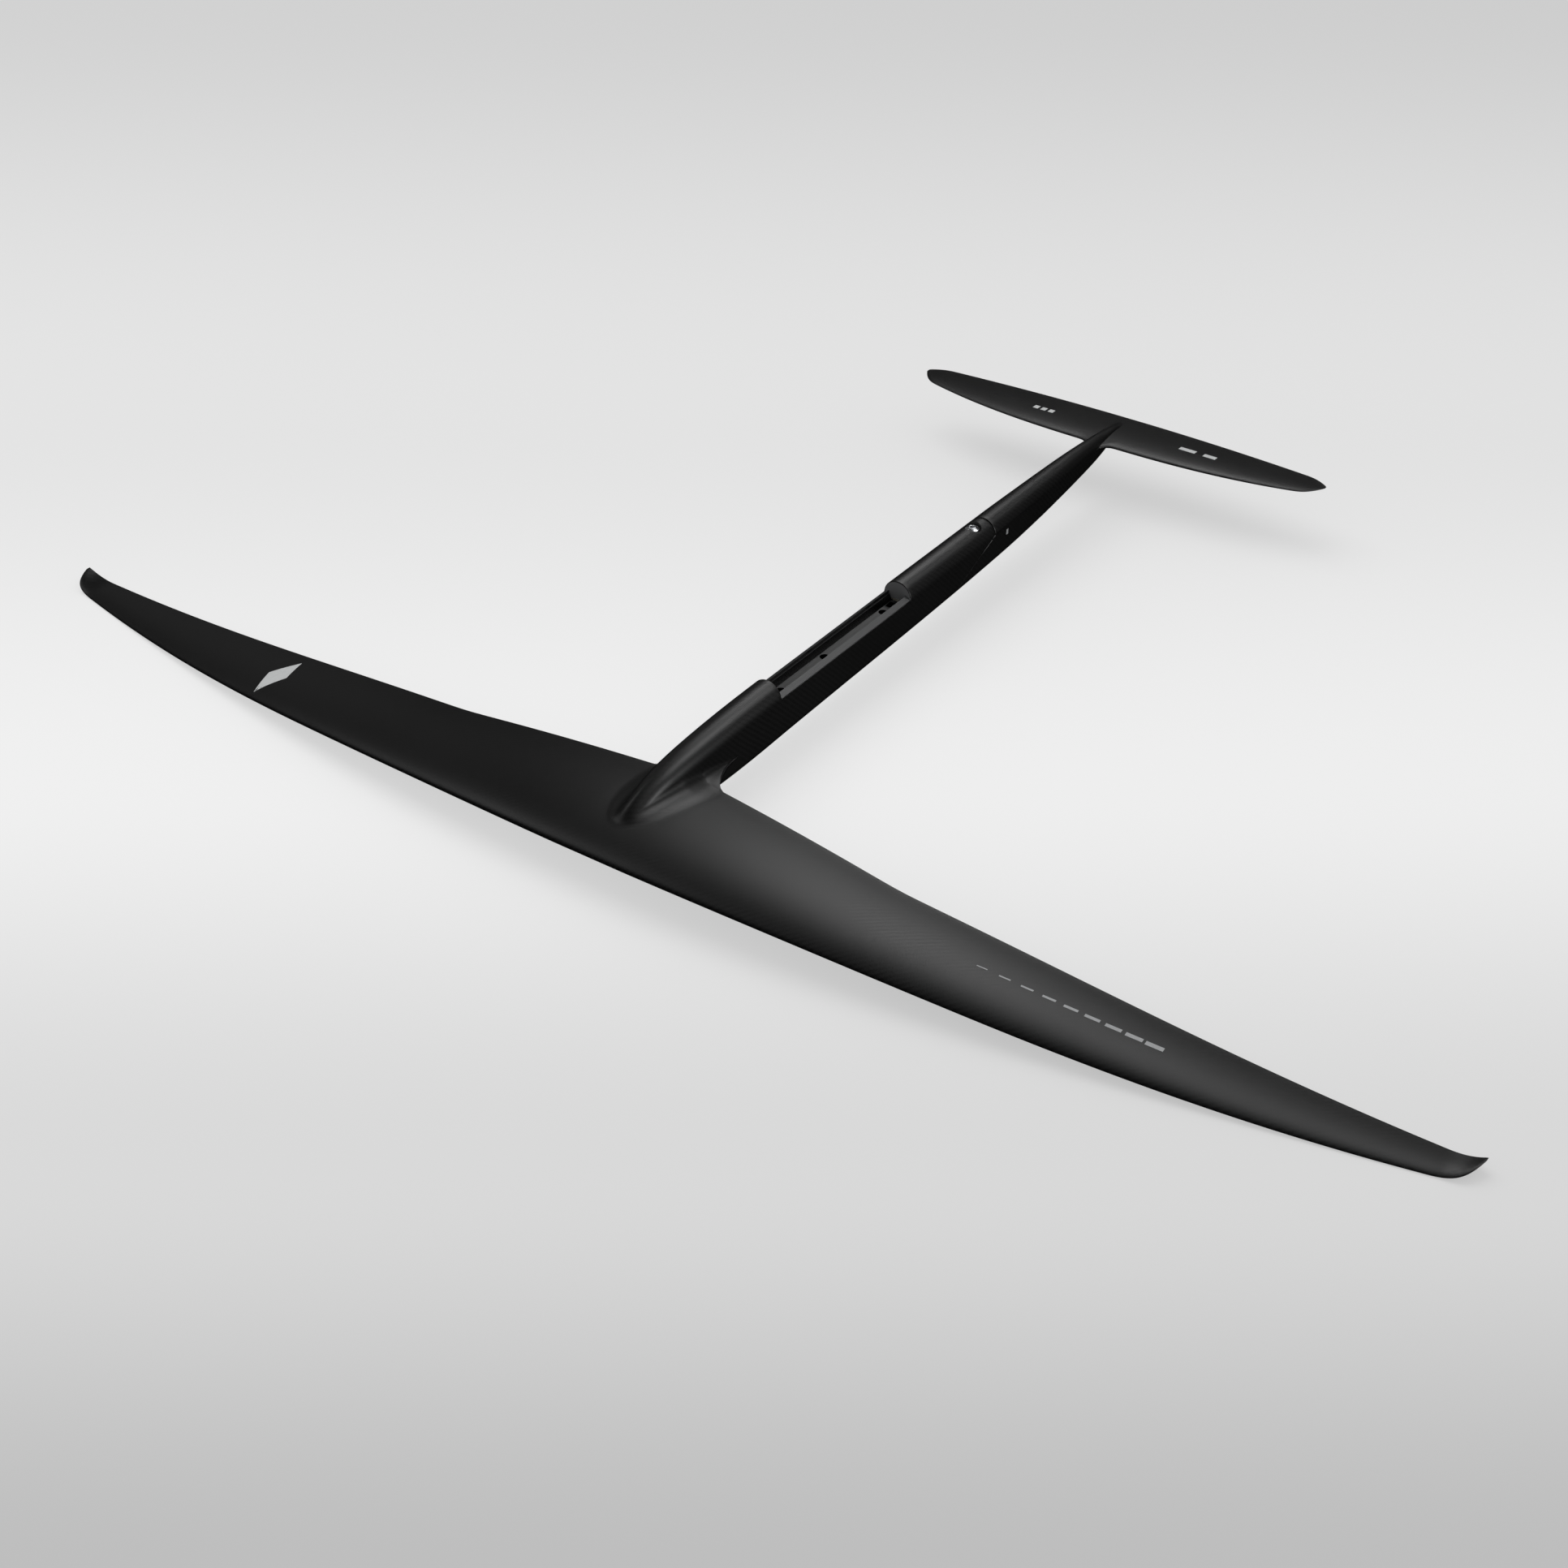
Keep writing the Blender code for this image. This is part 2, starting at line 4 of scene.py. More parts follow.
import bmesh
import bpy
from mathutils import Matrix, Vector


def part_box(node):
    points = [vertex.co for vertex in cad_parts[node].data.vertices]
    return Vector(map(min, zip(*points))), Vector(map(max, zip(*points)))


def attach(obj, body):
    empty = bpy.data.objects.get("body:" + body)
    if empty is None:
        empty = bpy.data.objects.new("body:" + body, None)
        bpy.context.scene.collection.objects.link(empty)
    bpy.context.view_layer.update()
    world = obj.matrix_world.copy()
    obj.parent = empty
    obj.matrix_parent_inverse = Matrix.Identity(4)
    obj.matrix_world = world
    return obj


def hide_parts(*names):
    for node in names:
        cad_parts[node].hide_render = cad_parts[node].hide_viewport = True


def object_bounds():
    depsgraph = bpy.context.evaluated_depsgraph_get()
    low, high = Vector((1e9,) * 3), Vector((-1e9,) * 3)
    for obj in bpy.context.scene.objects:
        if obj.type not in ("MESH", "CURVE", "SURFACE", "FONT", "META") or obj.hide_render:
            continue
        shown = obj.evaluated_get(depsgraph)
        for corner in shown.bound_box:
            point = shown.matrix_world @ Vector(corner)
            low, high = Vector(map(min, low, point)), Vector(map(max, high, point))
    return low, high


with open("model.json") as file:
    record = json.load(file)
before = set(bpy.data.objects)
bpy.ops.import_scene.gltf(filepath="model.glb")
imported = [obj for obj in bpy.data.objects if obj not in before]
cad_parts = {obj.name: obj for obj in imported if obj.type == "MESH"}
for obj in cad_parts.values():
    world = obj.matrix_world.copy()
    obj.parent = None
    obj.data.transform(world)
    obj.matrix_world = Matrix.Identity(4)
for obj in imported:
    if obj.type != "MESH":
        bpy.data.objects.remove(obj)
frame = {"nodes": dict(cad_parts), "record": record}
cad_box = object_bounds()

# Lengths are millimetres in the frame's own axes (X to port, Y aft, Z up) until a mesh is made.
MM = 0.001


def cad_mm(node):
    """Lowest and highest corner of a CAD node, in millimetres."""
    low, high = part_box(node)
    return low / MM, high / MM


# ---- driving dimensions, from the frame where it holds them

WING_LOW, WING_HIGH = cad_mm("wing_upper_skin_port")
HALF_SPAN = WING_HIGH.x
WING_ROOT_LE = WING_LOW.y
WING_ROOT_TE = -152.5
WING_KINK_X = 164.0
KINK_SOFTNESS = 10.0
SWEEP_RISE = 64.5
SWEEP_RUN = 325.0
OUTER_SWEEP = 8.8
OUTER_X = 250.0
TE_INNER_SLOPE = -0.1166
TE_OUTER_SLOPE = 0.0073
WING_ROOT_Z = -13.0
WING_DROOP = 24.7
DROOP_X = 485.0
DROOP_POWER = 2.37
TIP_START = 494.5
TIP_RISE = 7.6
TIP_RAKE = 13.2
TIP_CUT_IN = 2.4
WING_THICKNESS = 0.10
WING_CAMBER = 0.022

STAB_LOW, STAB_HIGH = cad_mm("stab_upper_skin")
STAB_HALF_SPAN = STAB_HIGH.x
STAB_LE = STAB_LOW.y
STAB_TE = STAB_HIGH.y
STAB_Z = 5.85
STAB_BOW_X = 135.0
STAB_LE_BOW = 12.0
STAB_TE_BOW = 5.6
STAB_TIP_START = 150.0
STAB_TIP_RAKE = 11.0
STAB_TIP_CUT_IN = 6.0
STAB_THICKNESS = 0.095
STAB_FILLET_X = 15.0
STAB_FILLET_SWEEP = 6.0
STAB_FILLET = 4.0
STAB_FILLET_FADE_Y = 358.0
CONE_SINK = (366.0, 383.0)

EDGE_HALF = 0.42

LINER_LOW, LINER_HIGH = cad_mm("mast_slot_liner")
GAP = 0.3
SLOT_FRONT = LINER_LOW.y - GAP
SLOT_REAR = LINER_HIGH.y + GAP
SHELL = 1.5
EDGE_ROUND = 0.6
JOINT_ROUND = 1.3
SCREW_LOW, SCREW_HIGH = cad_mm("tail_screw")
SCREW_Y = (SCREW_LOW.y + SCREW_HIGH.y) / 2
SCREW_HOLE_R = SCREW_HIGH.x + 0.95
SCREW_LIFT = 1.4
SCREW_DOME = 1.9
FERRULE_TOP = cad_mm("screw_ferrule")[1].z
SLEEVES = ("mast_sleeve_front", "mast_sleeve_middle", "mast_sleeve_rear")
MAST_HOLE_Y = [(cad_mm(name)[0].y + cad_mm(name)[1].y) / 2 for name in SLEEVES]
SLEEVE_HOLE_R = 5.6
SLEEVE_HOLE_TOP = -17.0
HOLE_ZONE = 9.0
SHANK_R = 2.6
THREAD_DEPTH = 0.35
THREAD_PITCH = 0.8
DRIVE_R = 1.7
JOINT_Y = 182.0
JOINT_STEP_Z = 5.0
JOINT_TOE_Y = 120.0
JOINT_TOE_Z = -22.0
JOINT_CHAMFER = 0.8
LAP_GAP = 0.12
LAP_CORNER = 1.4
LAP_AXIS_Z = -3.0
CHAMFER_RUN = 0.5
CHAMFER_HEIGHTS = (-4.0, 4.0)
RIM_WIDTH = 0.35
BLOCK_THICKNESS = 3.5
BLOCK_SETBACK = 0.03

# The hump on the wing: the outline of its fillet, and the web that fairs the trailing edge in
HUMP_NOSE_Y = -227.0
HUMP_WIDE_Y = -160.0
HUMP_HALF = 26.5
HUMP_RISE = (-234.0, -216.0)
FOOT_MARGIN = 0.3
NOSE_COLUMNS_X = 12.0
NOSE_COLUMNS_FADE = (-215.0, -190.0)
WEB_X = 26.0
WEB_START_Y = WING_ROOT_TE - 4.0
WEB_END_Y = -118.0
NOSE_BELL_HALF = 11.0
FILLET_FLATTEST = 0.5
FLATTEN_START = -218.0
FLATTEN_END = -150.0
NOSE_BELL_END = -223.0
NOSE_WALL_START = -180.0
SEAM_Z = -11.0
KEEL_CORNER = 5.2

# Sections of the body: y, half width, crest height and keel height
STATIONS = (
    (-229.0, 0.8, -9.6, -12.4),
    (-222.0, 4.2, -4.6, -15.6),
    (-208.0, 6.9, 2.2, -19.6),
    (-190.0, 8.7, 7.4, -23.4),
    (-168.0, 9.8, 10.8, -25.8),
    (-140.0, 10.4, 13.0, -26.8),
    (-105.0, 10.65, 14.4, -26.8),
    (-60.0, 10.65, 14.9, -25.4),
    (0.0, 10.65, 14.9, -23.8),
    (60.0, 10.65, 14.9, -22.3),
    (130.0, 10.65, 14.9, -20.1),
    (182.0, 10.65, 14.9, -17.7),
    (205.0, 10.5, 14.9, -16.5),
    (235.0, 9.7, 14.8, -14.9),
    (266.0, 8.6, 14.7, -12.8),
    (301.0, 7.1, 14.3, -9.3),
    (334.0, 5.4, 12.9, -5.2),
    (360.0, 3.8, 10.5, 0.2),
    (380.0, 2.1, 8.1, 3.8),
)

# How finely the surfaces are drawn: rows along a chord, and points across the cap, the wall and
# the band that ends a section
WING_ROWS, STAB_ROWS = 60, 40
CAP_STEPS, WALL_STEPS, BAND_STEPS = 20, 20, 5
SECTION_POINTS = CAP_STEPS + WALL_STEPS + 1
BAND_LAST = 0.985

# Marks, as plan points or as centre, size and spacing
LOZENGE = ((-301, -225), (-293, -203), (-301, -181), (-309, -203))
DASH_COUNT, DASH_START, DASH_ANGLE = 9, (236.0, -201.5), 6.0
SQUARE_COUNT, SQUARE_START, SQUARE_STEP, SQUARE_SIZE = 3, (-64.5, 365.6), 6.4, (4.2, 5.0)
STAB_BARS = ((62.0, 13.0), (80.0, 10.0))
STAB_BAR_Y, STAB_BAR_WIDTH = 367.6, 4.6
TONE_BAR = (-91.0, 367.5, 24.0, 4.0)
SIDE_PATCH = (198.3, 0.3, 2.6, 4.0)
FILM_LIFT = 0.05

# Colours as linear light; the floor's are shades of grey at metres behind the object, a painted pool
# of light that the floor also glows with
TOW_WIDTH = 0.0011
CARBON_DARK = (0.0015, 0.0015, 0.0015)
CARBON_LIGHT = (0.0050, 0.0050, 0.0051)
# The first liner colour is painted shade: every liner face that does not face up is coloured near
# black.
LINER_WALL_SHADE = (0.001, 0.001, 0.001)
LINER_FLAT = (0.030, 0.031, 0.032)
# Painted light: the floor glows with this share of its colour so that shadows stay faint, and its
# shades are a painted pool of light, lightest just behind the object.
FLOOR_PAINTED_GLOW = 0.68
FLOOR_LIGHT_POOL = ((-0.60, 0.52), (-0.34, 0.70), (0.0, 0.865), (0.50, 0.76), (1.60, 0.62))

CAMERA_PLACE = Vector((0.75134, -1.11797, 0.83057))
CAMERA_AZIMUTH = 35.28
CAMERA_ELEVATION = 34.81
LENS = 56.27
FLOOR_RUN = 9.0
FLOOR_CENTRE = Vector((0.029, -0.0975, 0.0))

LIGHT_TARGET = Vector((0.0, -0.1, 0.0))
# Each light: azimuth (0 is ahead, 90 to port), elevation, distance and side in metres, watts
GLOSS_PANELS = (
    (195.0, 42.0, 1.3, 0.39, 2.33),
    (208.0, 36.0, 0.9, 0.27, 0.334),
    (160.0, 54.0, 0.8, 0.21, 0.33),
    (145.0, 50.0, 1.8, 0.70, 6.8),
    (275.0, 50.0, 1.8, 0.70, 2.36),
    (240.0, 15.0, 1.8, 0.70, 0.28),
    (96.0, 8.0, 1.8, 0.70, 17.3),
)
OVERHEAD = (255.0, 58.0, 4.0, 3.4, 78.0)
AIR = 0.66


# ---- scalar helpers

def ramp(a, b, t):
    """Smooth step from 0 at a to 1 at b."""
    t = min(max((t - a) / (b - a), 0.0), 1.0)
    return t * t * (3 - 2 * t)


def mix(a, b, t):
    return a + (b - a) * t


def past(x, start, end, power):
    """0 up to start, then rising to 1 at end."""
    return max(0.0, (x - start) / (end - start)) ** power


def station(y, column):
    """One column of the body's stations at y, along a cubic Hermite curve."""
    y = min(max(y, STATIONS[0][0]), STATIONS[-1][0])
    last = len(STATIONS) - 2
    i = next(k for k in range(last + 1) if y <= STATIONS[k + 1][0])

    def slope(k):
        lo, hi = STATIONS[max(k - 1, 0)], STATIONS[min(k + 1, last + 1)]
        return (hi[column] - lo[column]) / (hi[0] - lo[0])

    step = STATIONS[i + 1][0] - STATIONS[i][0]
    t = (y - STATIONS[i][0]) / step
    a, b = STATIONS[i][column], STATIONS[i + 1][column]
    return (
        a * (1 + 2 * t) * (1 - t) ** 2
        + slope(i) * step * t * (1 - t) ** 2
        + b * t * t * (3 - 2 * t)
        - slope(i + 1) * step * t * t * (1 - t)
    )


def spread(a, b, step):
    """Values from a to b, at most step apart."""
    count = max(1, math.ceil((b - a) / step))
    return [a + (b - a) * k / count for k in range(count + 1)]


def stations_out(start, end, step, growth, tip_step):
    """Spanwise stations that open out from the root and close up towards the tip."""
    xs = [start]
    while True:
        x = xs[-1]
        move = min(step, 2.5 + growth * (x - start), max(tip_step, 0.12 * (end - x)))
        if x + 1.2 * move >= end:
            break
        xs.append(x + move)
    return xs + [end]


# ---- lifting surfaces

def chord_fractions(count):
    """Fractions of the chord from 0 to 1, closest together at both edges."""
    return [0.5 * (1 - math.cos(math.pi * i / count)) for i in range(count + 1)]


def section(s, chord, thickness, camber):
    """Mean line height and half thickness of an aerofoil at chord fraction s."""
    half = 5 * thickness * chord * (
        0.2969 * math.sqrt(s) - 0.1260 * s - 0.3516 * s**2 + 0.2843 * s**3 - 0.1036 * s**4
    )
    return 4 * camber * chord * s * (1 - s), half


class Wing:
    """The front wing outboard of its root; inboard of root_x it is the same as at root_x."""

    span = HALF_SPAN
    root_x = WEB_X
    thickness = WING_THICKNESS
    camber = WING_CAMBER

    @staticmethod
    def planform(x):
        le = WING_ROOT_LE + SWEEP_RISE * (math.sqrt(1 + (x / SWEEP_RUN) ** 2) - 1)
        le += OUTER_SWEEP * past(x, OUTER_X, HALF_SPAN, 2.0)
        le += TIP_RAKE * past(x, TIP_START, HALF_SPAN, 6.0)
        inner = 0.5 * (x + WING_KINK_X - math.hypot(x - WING_KINK_X, KINK_SOFTNESS))
        te = WING_ROOT_TE + TE_INNER_SLOPE * inner + TE_OUTER_SLOPE * (x - inner)
        te -= TIP_CUT_IN * past(x, TIP_START, HALF_SPAN, 2.0)
        z = WING_ROOT_Z - WING_DROOP * math.sin(math.pi / 2 * min(x / DROOP_X, 1)) ** DROOP_POWER
        z += TIP_RISE * past(x, TIP_START, HALF_SPAN, 2.3)
        return le, te, z


class Stab:
    """The stabiliser; its leading edge fairs forward along the tail cone near the root."""

    span = STAB_HALF_SPAN
    root_x = 0.0
    thickness = STAB_THICKNESS
    camber = 0.0

    @staticmethod
    def planform(x):
        le = STAB_LE + STAB_LE_BOW * (x / STAB_BOW_X) ** 2.6
        le += STAB_TIP_RAKE * past(x, STAB_TIP_START, STAB_HALF_SPAN, 2.5)
        le -= STAB_FILLET_SWEEP * past(STAB_FILLET_X - x, 0.0, STAB_FILLET_X - 5.0, 2.4)
        te = STAB_TE - STAB_TE_BOW * (x / STAB_BOW_X) ** 2
        te -= STAB_TIP_CUT_IN * past(x, STAB_TIP_START, STAB_HALF_SPAN, 2.0)
        return le, te, STAB_Z


def wing_point(wing, x, s, side):
    """y, z on the upper (side 1) or lower (side -1) face of a wing at span x and fraction s."""
    le, te, z = wing.planform(max(abs(x), wing.root_x))
    te -= EDGE_HALF
    chord = te - le
    mean, half = section(s, chord, wing.thickness, wing.camber)
    half = math.hypot(half, EDGE_HALF * ramp(0.3, 1.0, s))
    closing = past(abs(x), wing.span - 2.0, wing.span, 2.0)
    return le + s * chord, z + mean + side * half * math.sqrt(max(0.0, 1 - closing))


def wing_height(wing, x, y):
    """z on a wing's upper face at the plan point x, y."""
    le, te, _ = wing.planform(max(abs(x), wing.root_x))
    s = min(max((y - le) / (te - EDGE_HALF - le), 0.0), 1.0)
    return wing_point(wing, x, s, 1)[1]


# ---- cross-sections from the centre line outwards

def shoulder(centre, reach, steps=10):
    """Points on an elliptical quarter turn, from its top round to its side."""
    turns = [math.pi / 2 * k / steps for k in range(steps + 1)]
    return [(centre[0] + reach[0] * math.sin(a), centre[1] + reach[1] * math.cos(a)) for a in turns]


def fillet(half, outline, base, rise, end_x, steps=14):
    """Points on a hollow elliptical quarter turn from (half, base + rise) down to
    (outline, base), stopping where it reaches end_x."""
    last = math.acos(min(max((outline - end_x) / (outline - half), 0.0), 1.0))
    turns = [last * k / steps for k in range(steps + 1)]
    return [(outline - (outline - half) * math.cos(a), base + rise * (1 - math.sin(a))) for a in turns]


def body_cap(y, side, height=1e3):
    """The crest (side 1) or keel (side -1) part of the fuselage section, as x, z points; the
    cap takes no more than that height."""
    half = station(y, 1)
    top = station(y, 2 if side > 0 else 3)
    depth = station(y, 2) - station(y, 3)
    if side > 0:
        reach = (half, min(half, 0.5 * depth))
    else:
        corner = min(KEEL_CORNER, 0.62 * half, 0.4 * depth)
        reach = (corner, corner)
    reach = (reach[0], min(reach[1], height))
    curve = shoulder((half - reach[0], top - side * reach[1]), (reach[0], side * reach[1]))
    return half, top, [(0.0, top)] * (reach[0] < half) + curve


def polyline_lengths(points):
    lengths = [0.0]
    for a, b in zip(points, points[1:]):
        lengths.append(lengths[-1] + math.dist(a, b))
    return lengths


def resample(points, parts):
    """Spread points along a polyline as (x, z, length left); parts holds the share of the
    whole length that each part ends at, with its number of steps."""
    lengths = polyline_lengths(points)
    total = lengths[-1]
    marks, start = [0.0], 0.0
    for end, count in parts:
        marks += [mix(start, end, k / count) * total for k in range(1, count + 1)]
        start = end
    result, i = [], 0
    for mark in marks:
        while i < len(lengths) - 2 and lengths[i + 1] < mark:
            i += 1
        run = lengths[i + 1] - lengths[i]
        t = (mark - lengths[i]) / run if run > 1e-9 else 0.0
        x, z = (mix(points[i][k], points[i + 1][k], t) for k in (0, 1))
        result.append((x, z, total - mark))
    return result


def length_share(curve, count):
    """The share of the curve's length that its first count points take."""
    lengths = polyline_lengths(curve)
    return lengths[count - 1] / lengths[-1]


def step_parts(cap_share, ridge_share):
    """Parts for resample: the cap, the wall up to its last ridge, and the band that ends it."""
    return (cap_share, CAP_STEPS), (ridge_share, WALL_STEPS - BAND_STEPS), (1.0, BAND_STEPS)


def bell(height, half, outline, reach_x, base, side, steps=48):
    """Section of the hump's nose: one smooth swell with no wall."""
    half = max(half, NOSE_BELL_HALF)
    points = []
    for k in range(steps + 1):
        x = reach_x * k / steps
        lift = max(1 - (x / outline) ** 2, 0.0) ** 2 / (1 + (x / half) ** 2)
        points.append((x, base + side * height * lift))
    return points


def body_over(y, side, base, settle, cap_part):
    """Height of the body over base at its centre line, half width, and cap points."""
    half, top, _ = body_cap(y, side)
    height = side * (top - base)
    height = 0.5 * (height + math.hypot(height, 0.8)) * settle
    half, _, cap = body_cap(y, side, cap_part * height)
    shift = base + side * height - top
    return height, half, [(x, z + shift) for x, z in cap]


def fillet_rise(y, width):
    """Height of a fillet of that width; the hump's fillet flattens towards the trailing edge."""
    return width * mix(1.0, FILLET_FLATTEST, ramp(FLATTEN_START, FLATTEN_END, y) * (y < SLOT_FRONT))


def faired(y, side, base, outline, reach_x, settle, cap_part=0.5):
    """Section of the body on a wing: cap, wall, fillet down to height base at x = outline,
    then level to reach_x.  settle (0 to 1) is how far the body has risen out of the wing, and
    cap_part is the part of the height that may be cap.  At the hump's nose the section turns
    into a plain swell, and near the wing's trailing edge its last points gather at the foot."""
    height, half, cap = body_over(y, side, base, settle, cap_part)
    outline = max(outline, half + 0.4)
    reach_x = max(reach_x, outline + 0.2)
    wall = max(side * (cap[-1][1] - base), 0.0)
    rise = side * min(fillet_rise(y, outline - half), wall)
    curve = cap + fillet(half, outline, base, rise, outline) + [(reach_x, base)]
    share = mix(0.5, length_share(curve, len(cap)), settle)
    even = mix(share, 1.0, 1 - BAND_STEPS / WALL_STEPS)
    closing = ramp(FLATTEN_START, WEB_START_Y, y) * (y < SLOT_FRONT)
    parts = step_parts(share, mix(even, BAND_LAST, closing))
    points = resample(curve, parts)
    blend = ramp(NOSE_BELL_END, NOSE_WALL_START, y)
    if blend < 1:
        swell = resample(bell(height, half, outline, reach_x, base, side), parts)
        points = [tuple(mix(a, b, blend) for a, b in zip(p, q)) for p, q in zip(swell, points)]
    return points


def cornered(y, side, base, edge):
    """Section behind the wing's trailing edge: the hump's fillet fading out, cut off where it
    reaches x = edge, and a band from the cut down to height base."""
    _, half, cap = body_over(y, side, base, 1.0, 0.5)
    edge = max(edge, half)
    width = (WEB_X + FOOT_MARGIN - half) * (1 - ramp(WEB_START_Y, WEB_END_Y, y)) + 0.05
    wall = max(side * (cap[-1][1] - base), 0.0)
    rise = side * min(fillet_rise(y, width), wall)
    curve = cap + fillet(half, half + width, base, rise, min(edge, half + width))
    ridge = len(curve)
    curve.append((curve[-1][0], base))
    ridge_share = min(length_share(curve, ridge), BAND_LAST)
    return resample(curve, step_parts(length_share(curve, len(cap)), ridge_share))


def plain_section(y, side, seam_z):
    """Section of the body alone, from the centre line to the seam on its side."""
    half, _, cap = body_cap(y, side)
    curve = cap + [(half, seam_z)]
    return resample(curve, ((length_share(curve, len(cap)), CAP_STEPS), (1.0, WALL_STEPS)))


# ---- sheets of mesh with a weave map

class Sheet:
    """A surface built from rows of points, mirrored to both sides of the centre line."""

    def __init__(self):
        self.bm = bmesh.new()
        self.uv = self.bm.loops.layers.uv.new("weave")
        self.tag = self.bm.faces.layers.int.new("finish")

    def rows(self, rows, finish=0, first=0):
        """Rows of (x, y, z, u) points; neighbouring rows are joined as far as both reach."""
        for sign in (1, -1):
            grid = [[self.bm.verts.new((sign * x, y, z)) for x, y, z, _ in row] for row in rows]
            for i in range(len(rows) - 1):
                width = min(len(rows[i]), len(rows[i + 1]))
                for k in range(first, width - 1):
                    corners = ((i, k), (i, k + 1), (i + 1, k + 1), (i + 1, k))
                    face = self.bm.faces.new([grid[a][b] for a, b in corners])
                    face[self.tag] = finish
                    for loop, (a, b) in zip(face.loops, corners):
                        point = rows[a][b]
                        loop[self.uv].uv = (sign * point[3] * MM, point[1] * MM)

    def weld(self, side):
        """Join the rows, and turn the body's faces to look up (side 1) or down (side -1)."""
        bmesh.ops.remove_doubles(self.bm, verts=self.bm.verts, dist=0.004)
        bmesh.ops.dissolve_degenerate(self.bm, edges=self.bm.edges, dist=0.002)
        loose = [v for v in self.bm.verts if not v.link_faces]
        bmesh.ops.delete(self.bm, geom=loose, context="VERTS")
        bmesh.ops.recalc_face_normals(self.bm, faces=self.bm.faces)
        if side * sum(f.normal.z * f.calc_area() for f in self.bm.faces) < 0:
            bmesh.ops.reverse_faces(self.bm, faces=self.bm.faces)

    def bisect(self, point, normal):
        """Split the faces that cross a plane."""
        geom = [*self.bm.verts, *self.bm.edges, *self.bm.faces]
        bmesh.ops.bisect_plane(self.bm, geom=geom, dist=1e-4, plane_co=point, plane_no=normal)

    def hole(self, y, radius, keep_z, surface, depth, finish):
        """Open a round hole on the centre line and turn its rim inwards to height depth."""
        def plan_distance(co):
            return math.hypot(co.x, co.y - y)
        near = [
            f for f in self.bm.faces
            if keep_z(f.calc_center_median().z) and plan_distance(f.calc_center_median()) < radius
        ]
        bmesh.ops.delete(self.bm, geom=near, context="FACES")
        rim = [
            e for e in self.bm.edges
            if e.is_boundary
            and all(keep_z(v.co.z) and plan_distance(v.co) < radius + 3.0 for v in e.verts)
        ]
        for vert in {v for e in rim for v in e.verts}:
            scale = radius / max(plan_distance(vert.co), 1e-6)
            vert.co.x *= scale
            vert.co.y = y + (vert.co.y - y) * scale
            vert.co.z = surface(abs(vert.co.x), vert.co.y)
        self.lip(rim, lambda co: Vector((co.x, co.y, depth)), finish)

    def lip(self, edges, place, finish):
        """Extrude boundary edges, put each new point where place(co) says, and return the new
        outer edges."""
        result = bmesh.ops.extrude_edge_only(self.bm, edges=edges)["geom"]
        for vert in [g for g in result if isinstance(g, bmesh.types.BMVert)]:
            vert.co = place(vert.co)
        for face in [g for g in result if isinstance(g, bmesh.types.BMFace)]:
            face[self.tag] = finish
        return [g for g in result if isinstance(g, bmesh.types.BMEdge) and g.is_boundary]

    def build(self, name, materials, body, slot, *nodes):
        for vert in self.bm.verts:
            vert.co *= MM
        mesh = bpy.data.meshes.new(name)
        tags = [f[self.tag] for f in self.bm.faces]
        self.bm.to_mesh(mesh)
        self.bm.free()
        for material in materials:
            mesh.materials.append(material)
        for polygon, tag in zip(mesh.polygons, tags):
            polygon.material_index = tag
        place_mesh(name, mesh, body, slot, *nodes)


def add_object(name, data):
    item = bpy.data.objects.new(name, data)
    bpy.context.scene.collection.objects.link(item)
    return item


def place_mesh(name, mesh, body, slot, *nodes, sharp=38):
    mesh.shade_smooth()
    mesh.set_sharp_from_angle(angle=math.radians(sharp))
    piece = add_object(name, mesh)
    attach(piece, body)
    if nodes:
        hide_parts(*nodes)


def edge_strip(boundary, side):
    """Rows that round an edge over to its middle plane; boundary is (x, y, z, u, r) points."""
    rows = []
    for k, (x, y, z, u, r) in enumerate(boundary):
        ahead, behind = boundary[min(k + 1, len(boundary) - 1)], boundary[max(k - 1, 0)]
        run = Vector((ahead[0] - behind[0], ahead[1] - behind[1])).normalized()
        out_x, out_y = -run.y, run.x
        row = []
        for step in range(5):
            a = math.pi / 2 * step / 4
            drop = side * r * (1 - math.cos(a))
            reach = r * math.sin(a)
            row.append((x + out_x * reach, y + out_y * reach, z - drop, u + r * a))
        rows.append(row)
    return rows


def wing_row(wing, y, inner, xs, s, side):
    """A row of (x, y, z, u) points at chord fraction s: the body's section at y, then the wing's
    own points, spread like xs over what is left of the span."""
    row = [(x, y, z, inner[-1][0] - rest) for x, z, rest in inner]
    start = row[-1][0]
    for x in xs[1:]:
        x = mix(start, wing.span, (x - xs[0]) / (wing.span - xs[0]))
        row.append((x, *wing_point(wing, x, s, side), x))
    return row


# ---- the foil: front wing, hump and fuselage

def hump_outline(y):
    """Half width of the fillet's foot on the wing."""
    run = min(max((HUMP_WIDE_Y - y) / (HUMP_WIDE_Y - HUMP_NOSE_Y), 0.0), 1.0)
    return HUMP_HALF * math.sqrt(1 - run * run) + FOOT_MARGIN


def web_edge(y):
    """Half width of the web behind the wing root, narrowing onto the fuselage side."""
    half = station(y, 1)
    run = min(max((WEB_END_Y - y) / (WEB_END_Y - Wing.planform(WEB_X)[1]), 0.0), 1.0)
    return mix(WEB_X, half, (1 - run * run) ** 0.7)


def foil_wing_rows(side):
    """Rows at even chord fractions, from the leading edge to the trailing edge."""
    xs = stations_out(WEB_X, HALF_SPAN, step=9.0, growth=0.12, tip_step=0.35)
    rows = []
    for s in chord_fractions(WING_ROWS):
        y, base = wing_point(Wing, 0.0, s, side)
        outline = hump_outline(y) if s < 1 else WEB_X
        limit = math.hypot(outline, NOSE_COLUMNS_X * (1 - ramp(*NOSE_COLUMNS_FADE, y)))
        settle = ramp(*HUMP_RISE, y)
        inner = faired(y, side, base, outline, limit, settle)
        rows.append(wing_row(Wing, y, inner, xs, s, side))
    return rows


